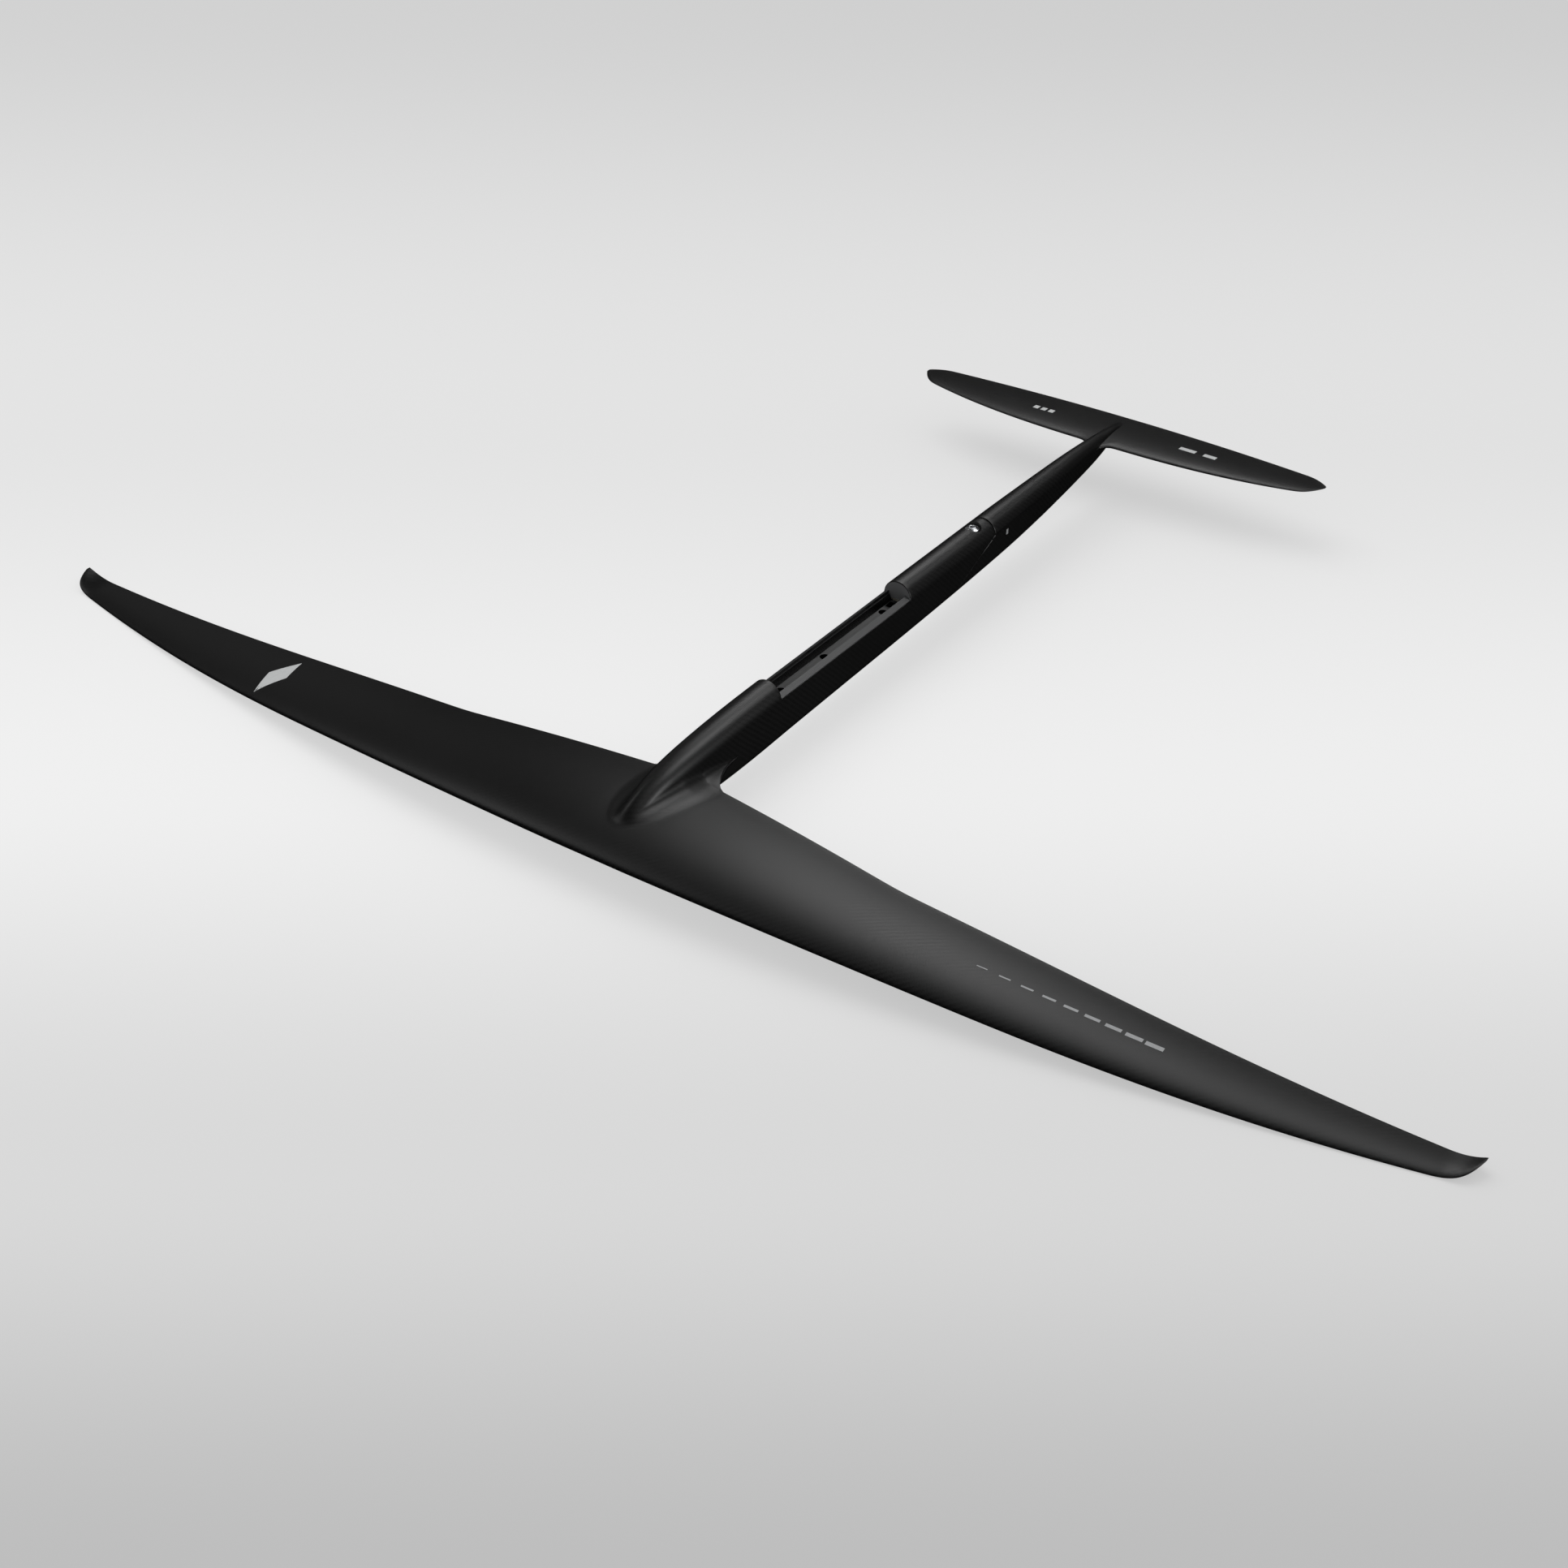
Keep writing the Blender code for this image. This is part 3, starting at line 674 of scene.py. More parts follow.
def foil_web_rows(side, last_row):
    """Rows behind the trailing edge, along the web that runs into the fuselage side."""
    start = last_row[0][1]
    rows, radii = [], []
    for y in spread(start, WEB_END_Y, 1.8)[1:]:
        r = EDGE_HALF * ramp(WEB_END_Y, WEB_END_Y - 9, y)
        edge = web_edge(y) - EDGE_HALF
        inner = cornered(y, side, WING_ROOT_Z + side * r, edge)
        rows.append([(x, y, z, inner[-1][0] - rest) for x, z, rest in inner])
        radii.append(r)
    return rows, radii


def seam_height(y):
    return mix(WING_ROOT_Z, SEAM_Z, ramp(WEB_END_Y, SLOT_FRONT, y))


def body_rows(ys, side, seam):
    """Plain body rows; seam(y) is the height where the section ends."""
    rows = []
    for y in ys:
        inner = plain_section(y, side, seam(y))
        rows.append([(x, y, z, inner[-1][0] - side * rest) for x, z, rest in inner])
    return rows


def drawn_in(point, k, distance):
    """A row's point number k, moved towards the body's axis."""
    x, y, z, u = point
    lean = math.atan2(z, max(x, 1e-6)) if k else math.pi / 2
    return max(x - distance * math.cos(lean), 0.0), y, z - distance * math.sin(lean), u


def rounded_end(row, y_end, direction, radius=EDGE_ROUND, columns=CAP_STEPS):
    """Rows that round the cap's edge over at y_end; direction is +1 where the body ends aft."""
    rows = []
    for step in range(6):
        a = math.pi / 2 * step / 5
        y = y_end - direction * radius * (1 - math.sin(a))
        inset = radius * (1 - math.cos(a))
        new = []
        for k, (x, _, z, u) in enumerate(row):
            new.append(drawn_in((x, y, z, u), k, inset * (1 - ramp(columns - 3, columns, k))))
        rows.append(new)
    return rows[::direction]


def end_wall(row, columns):
    """A flat rim that runs inwards from the edge row of an open end."""
    return [row[:columns], [drawn_in(point, k, SHELL) for k, point in enumerate(row[:columns])]]


def cut_half_lap(sheet, ahead):
    """Trim a sheet to the half-lap joint, and turn the cut edges inwards.  The tail's edge has
    a chamfer that grows towards the step of the joint."""
    toe, step = Vector((0, JOINT_TOE_Y, JOINT_TOE_Z)), Vector((0, JOINT_Y, JOINT_STEP_Z))
    along = (step - toe).normalized()
    up = Vector((0, -along.z, along.y))
    shift = 0.0 if ahead else -LAP_GAP
    sheet.bisect(toe + up * shift, up)
    gone = []
    for face in sheet.bm.faces:
        centre = face.calc_center_median()
        above = (centre - toe).dot(up) > shift
        behind = centre.y > JOINT_Y + (0.0 if ahead else GAP)
        if ahead and not above or not ahead and above and not behind:
            gone.append(face)
    bmesh.ops.delete(sheet.bm, geom=gone, context="FACES")
    sheet.bm.edges.ensure_lookup_table()
    rim = [
        e for e in sheet.bm.edges
        if e.is_boundary and all(abs((v.co - toe).dot(up) - shift) < 0.01 for v in e.verts)
    ]

    def inwards(co, depth=SHELL):
        outward = Vector((co.x, 0, co.z - LAP_AXIS_Z))
        slide = outward - up * outward.dot(up)
        return co - slide.normalized() * depth

    def chamfer(co):
        return up * JOINT_CHAMFER * ramp(*CHAMFER_HEIGHTS, co.z)

    if not ahead:
        for vert in {v for e in rim for v in e.verts}:
            vert.co -= chamfer(vert.co)
        rim = sheet.lip(rim, lambda co: inwards(co, CHAMFER_RUN) + chamfer(co), 2)
    sheet.lip(rim, inwards, 0)


def foil_wing(sheet, side):
    """The front wing, the hump on it, and the web behind its trailing edge."""
    wing_rows = foil_wing_rows(side)
    last = wing_rows[-1]
    web_rows, radii = foil_web_rows(side, last)
    sheet.rows(wing_rows)
    sheet.rows([last[:SECTION_POINTS]] + web_rows)
    trailing = [(*p, EDGE_HALF) for p in last[:SECTION_POINTS - 2:-1]]
    boundary = trailing + [(*row[-1], r) for row, r in zip(web_rows, radii)]
    sheet.rows(edge_strip(boundary, side))


def foil_upper_body(sheet, front_ys):
    """The fuselage's upper half: ahead of the slot, the slot's sides, and the rear deck."""
    front = body_rows(front_ys, 1, seam_height)
    front += rounded_end(front[-1], SLOT_FRONT, 1)[1:]
    sheet.rows(front)
    sheet.rows(end_wall(front[-1], CAP_STEPS + 1), finish=2)
    middle = body_rows(spread(SLOT_FRONT, SLOT_REAR, 6.0), 1, seam_height)
    sheet.rows(middle, first=CAP_STEPS)
    edge = [row[CAP_STEPS] for row in middle]
    sheet.rows([[(x - RIM_WIDTH, y, z, u), (x, y, z, u)] for x, y, z, u in edge])
    ys = spread(SLOT_REAR + EDGE_ROUND, SCREW_Y - HOLE_ZONE, 4.0)
    ys += spread(SCREW_Y - HOLE_ZONE, SCREW_Y + HOLE_ZONE, 0.9)[1:]
    ys += spread(SCREW_Y + HOLE_ZONE, JOINT_Y - JOINT_ROUND, 2.0)[1:]
    rear = body_rows(ys, 1, seam_height)
    rear = rounded_end(rear[0], SLOT_REAR, -1)[:-1] + rear
    rear += rounded_end(rear[-1], JOINT_Y, 1, JOINT_ROUND)[1:]
    sheet.rows(rear)
    sheet.rows(end_wall(rear[0], CAP_STEPS + 1), finish=2)
    sheet.rows(end_wall(rear[-1], SECTION_POINTS), finish=1)


def foil_lower_body(sheet, front_ys):
    """The fuselage's lower half, with closer rows where the mast's screw holes come."""
    ys = list(front_ys)
    for centre in MAST_HOLE_Y:
        start, end = centre - HOLE_ZONE, centre + HOLE_ZONE
        ys += spread(max(ys[-1], start), end, 0.9)[ys[-1] >= start:]
    ys += spread(ys[-1], JOINT_Y + 2, 4.0)[1:]
    sheet.rows(body_rows(sorted(set(ys)), -1, seam_height))


def build_foil(finishes):
    front_ys = spread(WEB_END_Y, SLOT_FRONT - EDGE_ROUND, 3.0)
    for name, side, level in (("upper", 1, foil_upper_body), ("lower", -1, foil_lower_body)):
        sheet = Sheet()
        foil_wing(sheet, side)
        level(sheet, front_ys)
        sheet.weld(side)
        cut_half_lap(sheet, True)
        if side > 0:
            sheet.hole(SCREW_Y, SCREW_HOLE_R, lambda z: z > 5, crest_at, FERRULE_TOP - 1.5, 1)
        else:
            for centre in MAST_HOLE_Y:
                sheet.hole(centre, SLEEVE_HOLE_R, lambda z: z < -18, keel_at, SLEEVE_HOLE_TOP, 1)
        nodes = [f"wing_{name}_skin_port", f"wing_{name}_skin_starboard", f"fuselage_{name}_shell"]
        sheet.build(f"foil_{name}_moulding", finishes, "foil", "carbon_skin", *nodes)


def crest_at(x, y):
    half, top = station(y, 1), station(y, 2)
    return top - half + math.sqrt(max(half * half - x * x, 0.0))


def keel_at(x, y):
    half, top = station(y, 1), station(y, 3)
    beyond = max(0.0, x - (half - KEEL_CORNER))
    return top + KEEL_CORNER - math.sqrt(max(KEEL_CORNER**2 - beyond * beyond, 0.0))


# ---- the tail: cone and stabiliser

def tail_wing_rows(side):
    """Rows at even chord fractions of the stabiliser, with the cone fading into its root."""
    root = station(STAB_LE - STAB_FILLET_SWEEP, 1)
    xs = stations_out(STAB_FILLET_X, STAB_HALF_SPAN, step=5.0, growth=0.2, tip_step=0.3)
    rows = []
    for s in chord_fractions(STAB_ROWS):
        limit = mix(root, STAB_FILLET_X, ramp(0.0, 0.25, s) ** 0.7)
        y, base = wing_point(Stab, limit, s, side)
        half = station(y, 1)
        outline = half + STAB_FILLET * ramp(0.0, 0.3, s) * ramp(STAB_TE + 4, STAB_FILLET_FADE_Y, y)
        settle = 1 - ramp(*CONE_SINK, y)
        inner = faired(y, side, base, min(outline, limit), limit, settle, cap_part=1.0)
        rows.append(wing_row(Stab, y, inner, xs, s, side))
    return rows


def build_tail(finishes):
    for name, side in (("upper", 1), ("lower", -1)):
        sheet = Sheet()
        wing_rows = tail_wing_rows(side)
        start_y = wing_rows[0][0][1]
        edge_y = JOINT_Y + GAP
        if side > 0:
            body = body_rows(spread(edge_y + EDGE_ROUND, start_y, 4.0), side, lambda y: STAB_Z)
            body = rounded_end(body[0], edge_y, -1, columns=SECTION_POINTS + 6)[:-1] + body
            sheet.rows(end_wall(body[0], SECTION_POINTS), finish=1)
        else:
            ahead = spread(JOINT_TOE_Y - 8, edge_y, 4.0)
            body = body_rows(ahead + spread(edge_y, start_y, 4.0)[1:], side, lambda y: STAB_Z)
        sheet.rows(body[:-1] + [wing_rows[0][:SECTION_POINTS]])
        sheet.rows(wing_rows)
        trailing = [(*p, EDGE_HALF) for p in reversed(wing_rows[-1])]
        sheet.rows(edge_strip(trailing, side))
        sheet.weld(side)
        if side < 0:
            cut_half_lap(sheet, False)
        nodes = [f"tail_{name}_shell", f"stab_{name}_skin"]
        sheet.build(f"tail_{name}_moulding", finishes, "tail_unit", "carbon_skin", *nodes)


# ---- small pieces round the slot and the screw

def finish_mesh(name, bm, material):
    """Turn a bmesh into a mesh with one material."""
    mesh = bpy.data.meshes.new(name)
    bm.to_mesh(mesh)
    bm.free()
    mesh.materials.append(material)
    return mesh


def end_block(name, y, node, mats):
    """The flat laminate face that closes one end of the mast slot."""
    half, _, cap = body_cap(y, 1)
    inset = SHELL - 0.5
    outline = [(x * (1 - inset / half), z - inset) for x, z in cap]
    outline.append((half - inset, LINER_HIGH.z - 5.0))
    outline = [(-x, z) for x, z in reversed(outline)] + outline[1:]
    bm = bmesh.new()
    front = [bm.verts.new((x, y, z)) for x, z in outline]
    face = bm.faces.new(front)
    bmesh.ops.extrude_face_region(bm, geom=[face])
    for vert in set(bm.verts) - set(front):
        vert.co.y += BLOCK_THICKNESS
    bmesh.ops.recalc_face_normals(bm, faces=bm.faces)
    bmesh.ops.scale(bm, vec=(MM, MM, MM), verts=bm.verts)
    place_mesh(name, finish_mesh(name, bm, mats["machined"]), "foil", "solid_laminate", node, sharp=30)


def add_bevel(piece, width, angle=35):
    bevel = piece.modifiers.new("edge_break", "BEVEL")
    bevel.width = width * MM
    bevel.segments = 3
    bevel.limit_method = "ANGLE"
    bevel.angle_limit = math.radians(angle)
    bevel.harden_normals = True


def turned_piece(name, profile, material, body, node):
    """A turned part on the tail screw's axis, from (radius, z) points, top to bottom; radius 0
    closes it on the axis."""
    segments = 48
    bm = bmesh.new()
    rings = []
    for r, z in profile:
        turns = [2 * math.pi * k / segments for k in range(segments if r > 0 else 1)]
        points = [Vector((r * math.cos(a), SCREW_Y + r * math.sin(a), z)) for a in turns]
        rings.append([bm.verts.new(point * MM) for point in points])
    for upper, lower in zip(rings, rings[1:]):
        for k in range(segments):
            m = (k + 1) % segments
            around = ((upper, k), (upper, m), (lower, m), (lower, k))
            bm.faces.new(dict.fromkeys(ring[j % len(ring)] for ring, j in around))
    bmesh.ops.recalc_face_normals(bm, faces=bm.faces)
    place_mesh(name, finish_mesh(name, bm, material), body, "stainless_steel", node, sharp=35)


def build_screw(mats):
    top, tip, head_r = SCREW_HIGH.z, SCREW_LOW.z, SCREW_HIGH.x
    drive_z = top + 1.0
    profile = [(0, drive_z), (DRIVE_R, drive_z)]
    for k in range(9):
        r = mix(DRIVE_R, head_r - 0.3, k / 8)
        dome = SCREW_LIFT + SCREW_DOME * (1 - (r / head_r) ** 2)
        profile.append((r, top + dome - 0.25 * (k == 0)))
    profile += [(head_r, top - 1.4), (SHANK_R, FERRULE_TOP - 2.8)]
    z = FERRULE_TOP - 5.0
    while z > tip + 2.0:
        profile += [(SHANK_R - THREAD_DEPTH, z), (SHANK_R, z - THREAD_PITCH / 2)]
        z -= THREAD_PITCH
    profile += [(SHANK_R - 2 * THREAD_DEPTH, tip), (0, tip)]
    turned_piece("tail_screw_bright", profile, mats["stainless_steel"], "tail_screw", "tail_screw")


def build_ferrule(mats):
    """The metal seat round the screw's head."""
    inner, outer, bore = SCREW_HIGH.x + 0.4, SCREW_HIGH.x + 0.8, SHANK_R + 0.5
    foot, seat = FERRULE_TOP - 3.9, FERRULE_TOP - 3.2
    profile = [(inner, FERRULE_TOP), (outer, FERRULE_TOP), (outer, foot), (bore, foot), (bore, seat)]
    profile.append((inner, FERRULE_TOP))
    turned_piece("screw_ferrule_dark", profile, mats["dark_steel"], "foil", "screw_ferrule")


# ---- painted marks: plain bars, with no lettering

def add_grid(bm, grid):
    """Add rows of (x, y, z) points as faces."""
    rows = [[bm.verts.new(Vector(point) * MM) for point in row] for row in grid]
    for lower, upper in zip(rows, rows[1:]):
        for k in range(len(lower) - 1):
            bm.faces.new((lower[k], upper[k], upper[k + 1], lower[k + 1]))


def film(name, shapes, wing, body, material):
    """Thin paint laid on a wing's upper face; each shape is a parallelogram's plan corners."""
    steps = [k / 8 for k in range(9)]
    bm = bmesh.new()
    for a, b, _, d in shapes:
        grid = []
        for s in steps:
            row = []
            for t in steps:
                x = a[0] + s * (b[0] - a[0]) + t * (d[0] - a[0])
                y = a[1] + s * (b[1] - a[1]) + t * (d[1] - a[1])
                row.append((x, y, wing_height(wing, x, y) + FILM_LIFT))
            grid.append(row)
        add_grid(bm, grid)
    bmesh.ops.recalc_face_normals(bm, faces=bm.faces)
    if sum(f.normal.z for f in bm.faces) < 0:
        bmesh.ops.reverse_faces(bm, faces=bm.faces)
    place_mesh(name, finish_mesh(name, bm, material), body, "carbon_skin")


def bar(x, y, length, width, angle=0.0):
    """A straight bar: centre, length along its own angle from X, and width."""
    c, s = math.cos(math.radians(angle)), math.sin(math.radians(angle))
    corners = []
    for p, q in ((-1, -1), (1, -1), (1, 1), (-1, 1)):
        along, across = p * length / 2, q * width / 2
        corners.append((x + along * c - across * s, y + along * s + across * c))
    return corners


def build_marks(mats):
    film("starboard_wing_lozenge", [LOZENGE], Wing, "foil", mats["mark"])
    dashes = []
    for k in range(DASH_COUNT):
        x = DASH_START[0] + 14.2 * k - 0.15 * k * k
        y = DASH_START[1] + 0.8 * k
        dashes.append(bar(x, y, 6.5 + 0.5 * k, 0.8 + 0.32 * k, DASH_ANGLE))
    film("port_wing_dashes", dashes, Wing, "foil", mats["mark_dim"])
    squares = []
    for k in range(SQUARE_COUNT):
        squares.append(bar(SQUARE_START[0] + SQUARE_STEP * k, SQUARE_START[1], *SQUARE_SIZE))
    film("starboard_stab_squares", squares, Stab, "tail_unit", mats["mark"])
    pair = [bar(x, STAB_BAR_Y, length, STAB_BAR_WIDTH) for x, length in STAB_BARS]
    film("port_stab_bars", pair, Stab, "tail_unit", mats["mark"])
    film("starboard_stab_tone", [bar(*TONE_BAR)], Stab, "tail_unit", mats["tone"])
    side_mark(*SIDE_PATCH, mats["mark_dim"])


def side_mark(y, z, length, height, material):
    """A small painted patch on the port side of the tail cone."""
    steps = [k / 4 - 0.5 for k in range(5)]
    grid = []
    for row_y in [y + length * step for step in steps]:
        x = station(row_y, 1) + 0.06
        grid.append([(x, row_y, z + height * step) for step in steps])
    bm = bmesh.new()
    add_grid(bm, grid)
    mesh = finish_mesh("tail_side_patch", bm, material)
    place_mesh("tail_side_patch", mesh, "tail_unit", "carbon_skin")


# ---- materials

def new_material(name, roughness, metallic=0.0, specular=0.5):
    material = bpy.data.materials.new(name)
    material.use_nodes = True
    tree = material.node_tree
    shader = tree.nodes["Principled BSDF"]
    shader.inputs["Roughness"].default_value = roughness
    shader.inputs["Metallic"].default_value = metallic
    shader.inputs["Specular IOR Level"].default_value = specular
    return material, tree, shader


def math_node(tree, operation, a, b=None, clamp=False):
    node = tree.nodes.new("ShaderNodeMath")
    node.operation = operation
    node.use_clamp = clamp
    for socket, value in zip(node.inputs, (a, b)):
        if value is None:
            continue
        if hasattr(value, "links"):
            tree.links.new(value, socket)
        else:
            socket.default_value = value
    return node.outputs[0]


def scale_shift(tree, value, scale, shift, clamp=False):
    """value * scale + shift, where shift is a number or another socket."""
    scaled = math_node(tree, "MULTIPLY", value, scale)
    return math_node(tree, "ADD", scaled, shift, clamp=clamp)


def axes(tree, vector):
    """The x, y and z sockets of a vector socket."""
    split = tree.nodes.new("ShaderNodeSeparateXYZ")
    tree.links.new(vector, split.inputs[0])
    return split.outputs


def colour_blend(tree, factor, low, high):
    node = tree.nodes.new("ShaderNodeMix")
    node.data_type = "RGBA"
    for socket, value in (("A", low), ("B", high)):
        colour = next(s for s in node.inputs if s.name == socket and s.type == "RGBA")
        colour.default_value = (*value, 1.0)
    tree.links.new(factor, node.inputs["Factor"])
    return next(s for s in node.outputs if s.type == "RGBA")


def noise(tree, scale, detail, vector=None):
    node = tree.nodes.new("ShaderNodeTexNoise")
    node.inputs["Scale"].default_value = scale
    node.inputs["Detail"].default_value = detail
    if vector is None:
        vector = tree.nodes.new("ShaderNodeTexCoord").outputs["Object"]
    tree.links.new(vector, node.inputs["Vector"])
    return node.outputs["Fac"]


def bump(tree, shader, height, strength, distance):
    node = tree.nodes.new("ShaderNodeBump")
    node.inputs["Strength"].default_value = strength
    node.inputs["Distance"].default_value = distance
    tree.links.new(height, node.inputs["Height"])
    tree.links.new(node.outputs["Normal"], shader.inputs["Normal"])


def surface(tree, shader, tone, low, high, rough):
    """Link the colour, from low to high by tone, and the roughness."""
    tree.links.new(colour_blend(tree, tone, low, high), shader.inputs["Base Color"])
    tree.links.new(rough, shader.inputs["Roughness"])


def twill(tree):
    """2 x 2 twill from the weave map: which tow is on top (0 or 1) and the tows' height."""
    coordinates = tree.nodes.new("ShaderNodeUVMap")
    coordinates.uv_map = "weave"
    weave = axes(tree, coordinates.outputs["UV"])
    tows = [math_node(tree, "DIVIDE", weave[k], TOW_WIDTH) for k in (0, 1)]
    cells = [math_node(tree, "FLOOR", value) for value in tows]
    diagonal = math_node(tree, "SUBTRACT", cells[0], cells[1])
    phase = math_node(tree, "FLOORED_MODULO", diagonal, 4.0)
    over = math_node(tree, "LESS_THAN", phase, 1.5)
    ridges = []
    for value in tows:
        centred = math_node(tree, "SUBTRACT", math_node(tree, "FRACT", value), 0.5)
        square = math_node(tree, "MULTIPLY", centred, centred)
        ridges.append(math_node(tree, "SUBTRACT", 1.0, math_node(tree, "MULTIPLY", square, 4.0)))
    upper = math_node(tree, "MULTIPLY", over, ridges[0])
    lower = math_node(tree, "MULTIPLY", math_node(tree, "SUBTRACT", 1.0, over), ridges[1])
    return over, math_node(tree, "ADD", upper, lower)


def edge_light(tree):
    """1 on convex edges, 0 elsewhere, for the faint rubbed line on edges."""
    geometry = tree.nodes.new("ShaderNodeNewGeometry")
    above = math_node(tree, "SUBTRACT", geometry.outputs["Pointiness"], 0.56)
    return math_node(tree, "MULTIPLY", above, 6.0, clamp=True)


def carbon_material():
    """Satin twill; the tows on top are a little lighter and duller than the others."""
    material, tree, shader = new_material("satin_carbon", 0.40)
    over, height = twill(tree)
    cloud = noise(tree, 9.0, 3.0)
    fine = noise(tree, 900.0, 2.0)
    tone = scale_shift(tree, over, 0.45, math_node(tree, "MULTIPLY", cloud, 0.4))
    tone = scale_shift(tree, edge_light(tree), 0.8, tone, clamp=True)
    rough = scale_shift(tree, cloud, 0.06, scale_shift(tree, over, 0.03, 0.375))
    surface(tree, shader, tone, CARBON_DARK, CARBON_LIGHT, rough)
    bump(tree, shader, scale_shift(tree, fine, 0.5, height), 0.05, 0.00010)
    return material


def laminate_material(name, low, high, roughness, grain):
    """Cut laminate or foam: cloudy colour, fine grain and a little relief."""
    material, tree, shader = new_material(name, roughness, specular=0.4)
    cloud = noise(tree, 60.0, 4.0)
    fine = noise(tree, grain, 3.0)
    tone = scale_shift(tree, cloud, 0.6, math_node(tree, "MULTIPLY", fine, 0.4))
    surface(tree, shader, tone, low, high, scale_shift(tree, fine, 0.15, roughness - 0.07))
    bump(tree, shader, fine, 0.15, 0.0001)
    return material


def liner_material():
    """Machined slot lining: palest on its rims, darker along the middle of its floor, a painted shade
    standing in for a groove, and near black on every face that does not face up, a painted shade of
    its walls."""
    material, tree, shader = new_material("slot_liner_grey", 0.5, specular=0.6)
    coordinates = tree.nodes.new("ShaderNodeTexCoord")
    facing = axes(tree, coordinates.outputs["Normal"])
    place = axes(tree, coordinates.outputs["Object"])
    # Painted shade: faces that do not face up get tone 0, the near-black wall colour.
    flat = math_node(tree, "GREATER_THAN", facing[2], 0.6)
    raised = math_node(tree, "GREATER_THAN", place[2], 0.002)
    # Painted shade: the middle strip of the floor stays darker, standing in for a groove.
    off_centre = math_node(tree, "GREATER_THAN", math_node(tree, "ABSOLUTE", place[0]), 0.0014)
    fine = noise(tree, 1800.0, 3.0)
    cloud = noise(tree, 90.0, 3.0)
    grain = scale_shift(tree, fine, 0.25, math_node(tree, "MULTIPLY", cloud, 0.25))
    level = scale_shift(tree, off_centre, 0.40, scale_shift(tree, raised, 0.42, -0.15))
    tone = math_node(tree, "MULTIPLY", flat, math_node(tree, "ADD", grain, level))
    rough = scale_shift(tree, fine, 0.12, scale_shift(tree, flat, 0.16, 0.22))
    surface(tree, shader, tone, LINER_WALL_SHADE, LINER_FLAT, rough)
    bump(tree, shader, fine, 0.12, 0.0001)
    return material


def metal_material(name, low, high, roughness):
    """Turned metal: fine grain and light staining."""
    material, tree, shader = new_material(name, roughness, metallic=1.0)
    fine = noise(tree, 1500.0, 3.0)
    cloud = noise(tree, 250.0, 3.0)
    surface(tree, shader, cloud, low, high, scale_shift(tree, cloud, 0.16, roughness - 0.08))
    bump(tree, shader, fine, 0.12, 0.00004)
    return material


def paint_material(name, low, high):
    """Flat print with a slight grain."""
    material, tree, shader = new_material(name, 0.5, specular=0.4)
    fine = noise(tree, 700.0, 2.0)
    surface(tree, shader, fine, low, high, scale_shift(tree, fine, 0.12, 0.42))
    bump(tree, shader, fine, 0.08, 0.00005)
    return material


def floor_material():
    """Pale paper that glows, a painted light that keeps shadows faint; its grey is a painted pool of
    light, darkest close to the viewer and lightest just behind the object."""
    material, tree, shader = new_material("glowing_studio_paper", 0.9, specular=0.0)
    across = axes(tree, tree.nodes.new("ShaderNodeTexCoord").outputs["Object"])
    place = tree.nodes.new("ShaderNodeMapRange")
    place.inputs["From Min"].default_value = FLOOR_LIGHT_POOL[0][0]
    place.inputs["From Max"].default_value = FLOOR_LIGHT_POOL[-1][0]
    tree.links.new(across[1], place.inputs["Value"])
    shades = tree.nodes.new("ShaderNodeValToRGB")
    shades.color_ramp.interpolation = "EASE"
    run = FLOOR_LIGHT_POOL[-1][0] - FLOOR_LIGHT_POOL[0][0]
    elements = shades.color_ramp.elements
    while len(elements) < len(FLOOR_LIGHT_POOL):
        elements.new(0.5)
    for element, (y, shade) in zip(elements, FLOOR_LIGHT_POOL):
        element.position = (y - FLOOR_LIGHT_POOL[0][0]) / run
        element.color = (shade, shade, shade, 1.0)
    tree.links.new(place.outputs["Result"], shades.inputs[0])
    lit = tree.nodes.new("ShaderNodeVectorMath")
    lit.operation = "SCALE"
    lit.inputs["Scale"].default_value = 1 - FLOOR_PAINTED_GLOW
    tree.links.new(shades.outputs[0], lit.inputs[0])
    tree.links.new(lit.outputs[0], shader.inputs["Base Color"])
    # Painted light: the floor glows with its own shades.
    tree.links.new(shades.outputs[0], shader.inputs["Emission Color"])
    shader.inputs["Emission Strength"].default_value = FLOOR_PAINTED_GLOW
    return material


def make_materials():
    """Every finish by its name, with the record's slot names for those of the CAD nodes; colours
    are the darkest and the lightest that each one shows."""
    laminates = {
        "solid_laminate": ("cut_laminate", (0.012, 0.012, 0.012), (0.03, 0.03, 0.031), 0.5, 1400.0),
        "machined": ("machined_laminate", (0.070, 0.071, 0.073), (0.105, 0.106, 0.108), 0.5, 1600.0),
        "foam_core": ("core_foam", (0.55, 0.51, 0.42), (0.74, 0.70, 0.60), 0.9, 2200.0),
        "spar_carbon": ("spar_carbon", (0.010, 0.010, 0.011), (0.028, 0.028, 0.030), 0.45, 1500.0),
    }
    metals = {
        "stainless_steel": ("bright_stainless", (0.48, 0.49, 0.51), (0.72, 0.73, 0.75), 0.28),
        "dark_steel": ("dark_stainless", (0.05, 0.05, 0.052), (0.10, 0.10, 0.104), 0.40),
        "brass_insert": ("machined_brass", (0.50, 0.36, 0.14), (0.70, 0.54, 0.25), 0.30),
    }
    paints = {
        "mark": ("pale_grey_print", (0.42, 0.43, 0.43), (0.50, 0.51, 0.51)),
        "mark_dim": ("mid_grey_print", (0.24, 0.245, 0.25), (0.32, 0.325, 0.33)),
        "tone": ("tone_print", (0.004, 0.004, 0.004), (0.006, 0.006, 0.006)),
    }
    mats = {"carbon_skin": carbon_material(), "slot_liner": liner_material()}
    mats.update((key, laminate_material(*look)) for key, look in laminates.items())
    mats.update((key, metal_material(*look)) for key, look in metals.items())
    mats.update((key, paint_material(*look)) for key, look in paints.items())
    return mats


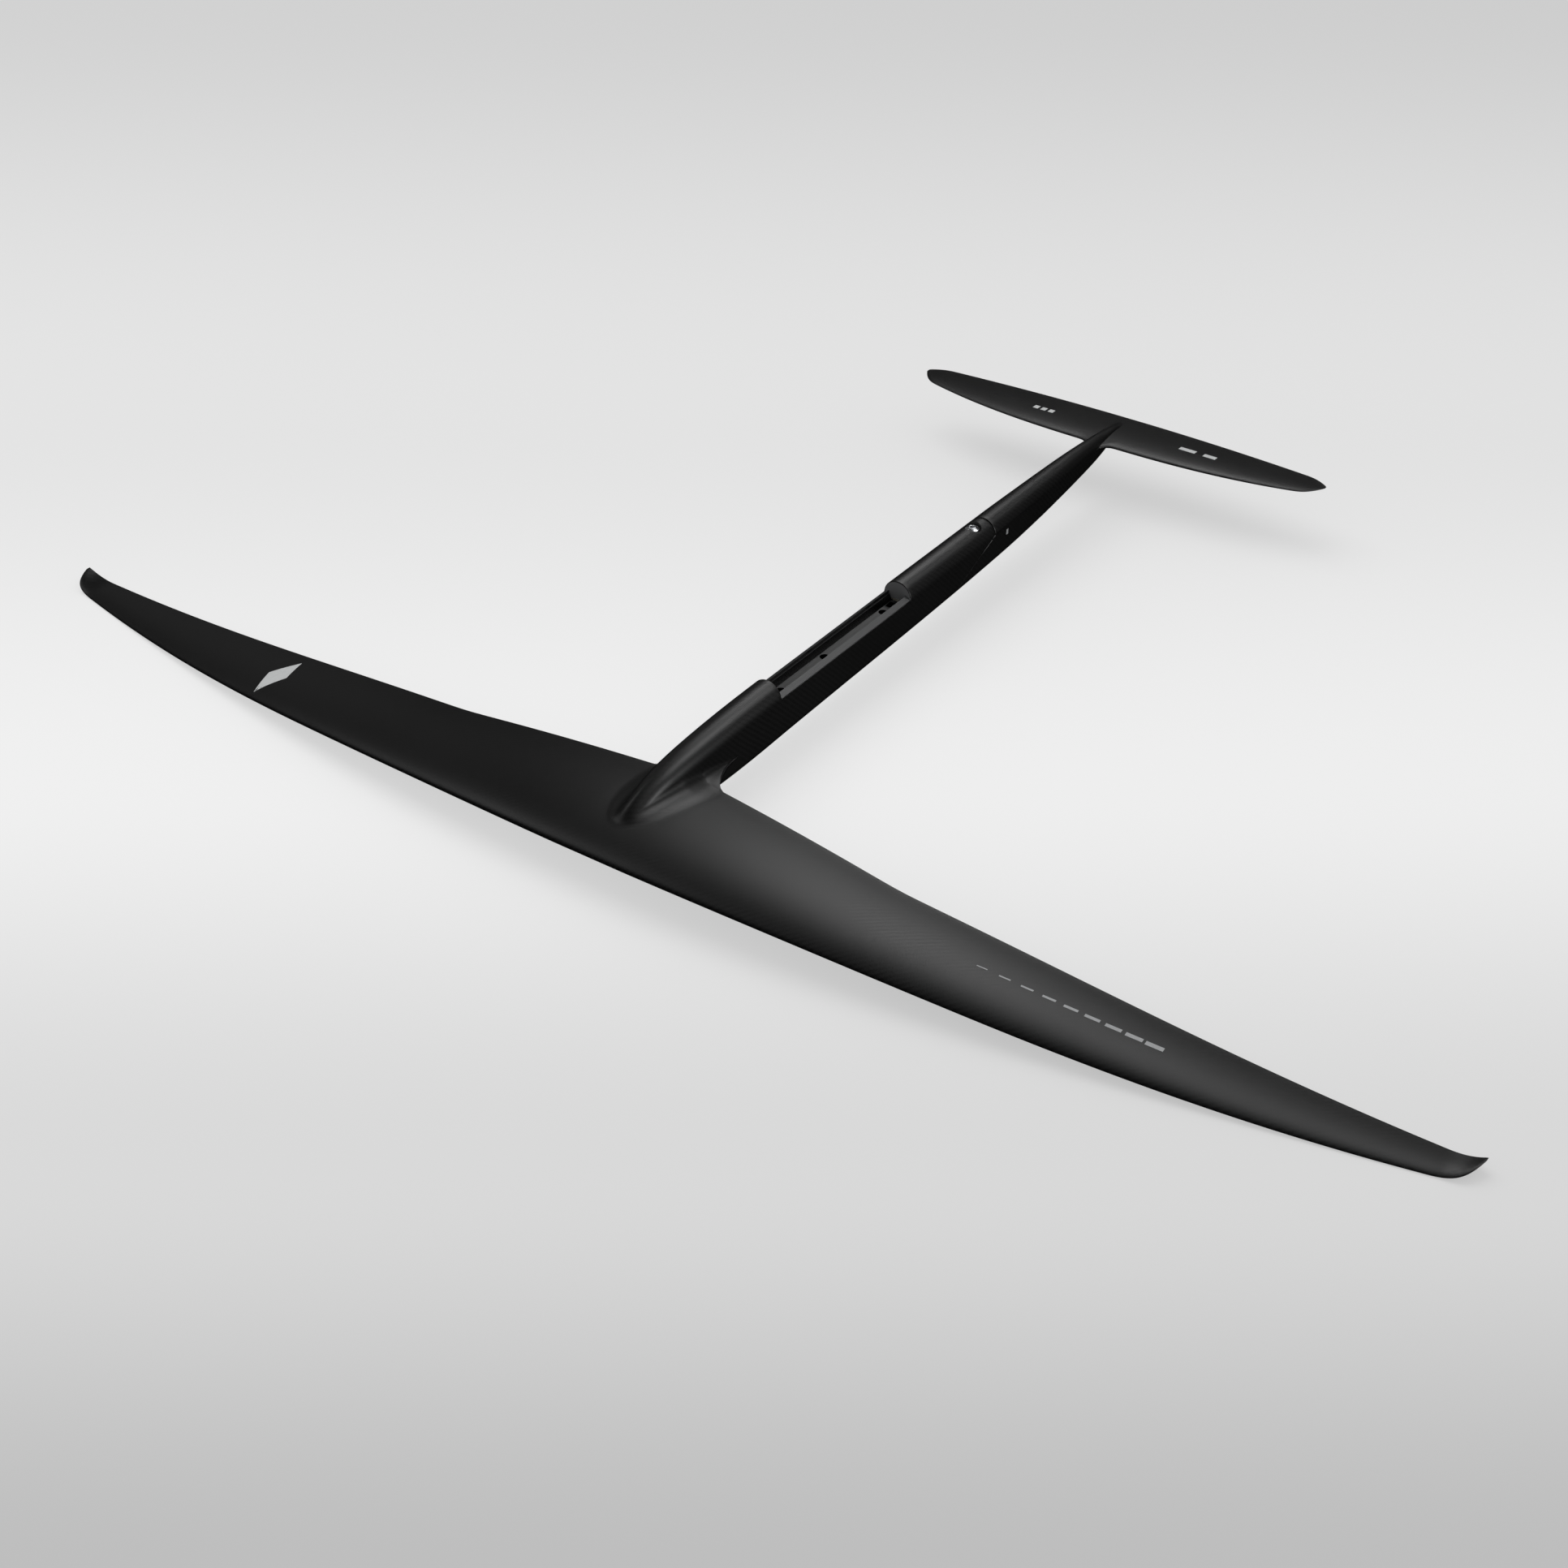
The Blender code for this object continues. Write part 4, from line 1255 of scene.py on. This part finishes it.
def dress_cad_nodes(mats):
    """Give every CAD node that stays in view a finish with procedural detail."""
    for part in frame["record"]["subparts"]:
        node = frame["nodes"][part["node"]]
        node.data.materials.clear()
        node.data.materials.append(mats[part["material_slot"]])
    add_bevel(frame["nodes"]["mast_slot_liner"], 0.12, 25)
    for name in ("lap_block", "tail_tongue"):
        add_bevel(frame["nodes"][name], LAP_CORNER, 25)


# ---- floor, lights and camera

def direction(azimuth, elevation):
    """Unit vector towards a place seen at that azimuth (0 is ahead, -Y) and elevation."""
    a, e = math.radians(azimuth), math.radians(elevation)
    return Vector((math.sin(a) * math.cos(e), -math.cos(a) * math.cos(e), math.sin(e)))


def build_stage():
    floor_z = cad_box[0][2]
    bm = bmesh.new()
    bmesh.ops.create_grid(bm, x_segments=40, y_segments=40, size=FLOOR_RUN / 2)
    floor = add_object("studio_floor", finish_mesh("studio_floor", bm, floor_material()))
    floor.location = FLOOR_CENTRE + Vector((0, 0, floor_z))
    floor.rotation_euler.z = math.radians(CAMERA_AZIMUTH)
    floor.visible_glossy = False
    floor.visible_diffuse = False


def area_light(name, azimuth, elevation, distance, size, energy):
    light = bpy.data.lights.new(name, "AREA")
    light.shape = "SQUARE"
    light.size = size
    light.energy = energy
    lamp = add_object(name, light)
    away = direction(azimuth, elevation)
    lamp.location = LIGHT_TARGET + away * distance
    lamp.rotation_euler = away.to_track_quat("Z", "Y").to_euler()
    lamp.visible_camera = False
    return lamp


def build_lights():
    """Soft panels that the satin surface reflects, and one large soft light for the floor."""
    for k, panel in enumerate(GLOSS_PANELS):
        lamp = area_light(f"gloss_panel_{k + 1}", *panel)
        lamp.visible_diffuse = False
    overhead = area_light("soft_overhead", *OVERHEAD)
    overhead.visible_glossy = False
    world = bpy.data.worlds.new("studio_air")
    world.use_nodes = True
    background = world.node_tree.nodes["Background"]
    background.inputs["Color"].default_value = (1.0, 1.0, 1.0, 1.0)
    background.inputs["Strength"].default_value = AIR
    world.cycles_visibility.glossy = False
    bpy.context.scene.world = world
    bpy.context.scene.view_settings.view_transform = "Standard"


def build_camera():
    data = bpy.data.cameras.new("camera")
    data.lens = LENS
    data.sensor_width = 36.0
    camera = add_object("camera", data)
    camera.location = CAMERA_PLACE
    back = direction(CAMERA_AZIMUTH, CAMERA_ELEVATION)
    camera.rotation_euler = back.to_track_quat("Z", "Y").to_euler()
    bpy.context.scene.camera = camera


def main():
    mats = make_materials()
    dress_cad_nodes(mats)
    finishes = [mats["carbon_skin"], mats["solid_laminate"], mats["machined"]]
    build_foil(finishes)
    build_tail(finishes)
    front_y = SLOT_FRONT - BLOCK_SETBACK - BLOCK_THICKNESS
    end_block("slot_front_face", front_y, "slot_front_bulkhead", mats)
    end_block("slot_rear_face", SLOT_REAR + BLOCK_SETBACK, "slot_rear_bulkhead", mats)
    build_screw(mats)
    build_ferrule(mats)
    build_marks(mats)
    build_stage()
    build_lights()
    build_camera()


main()
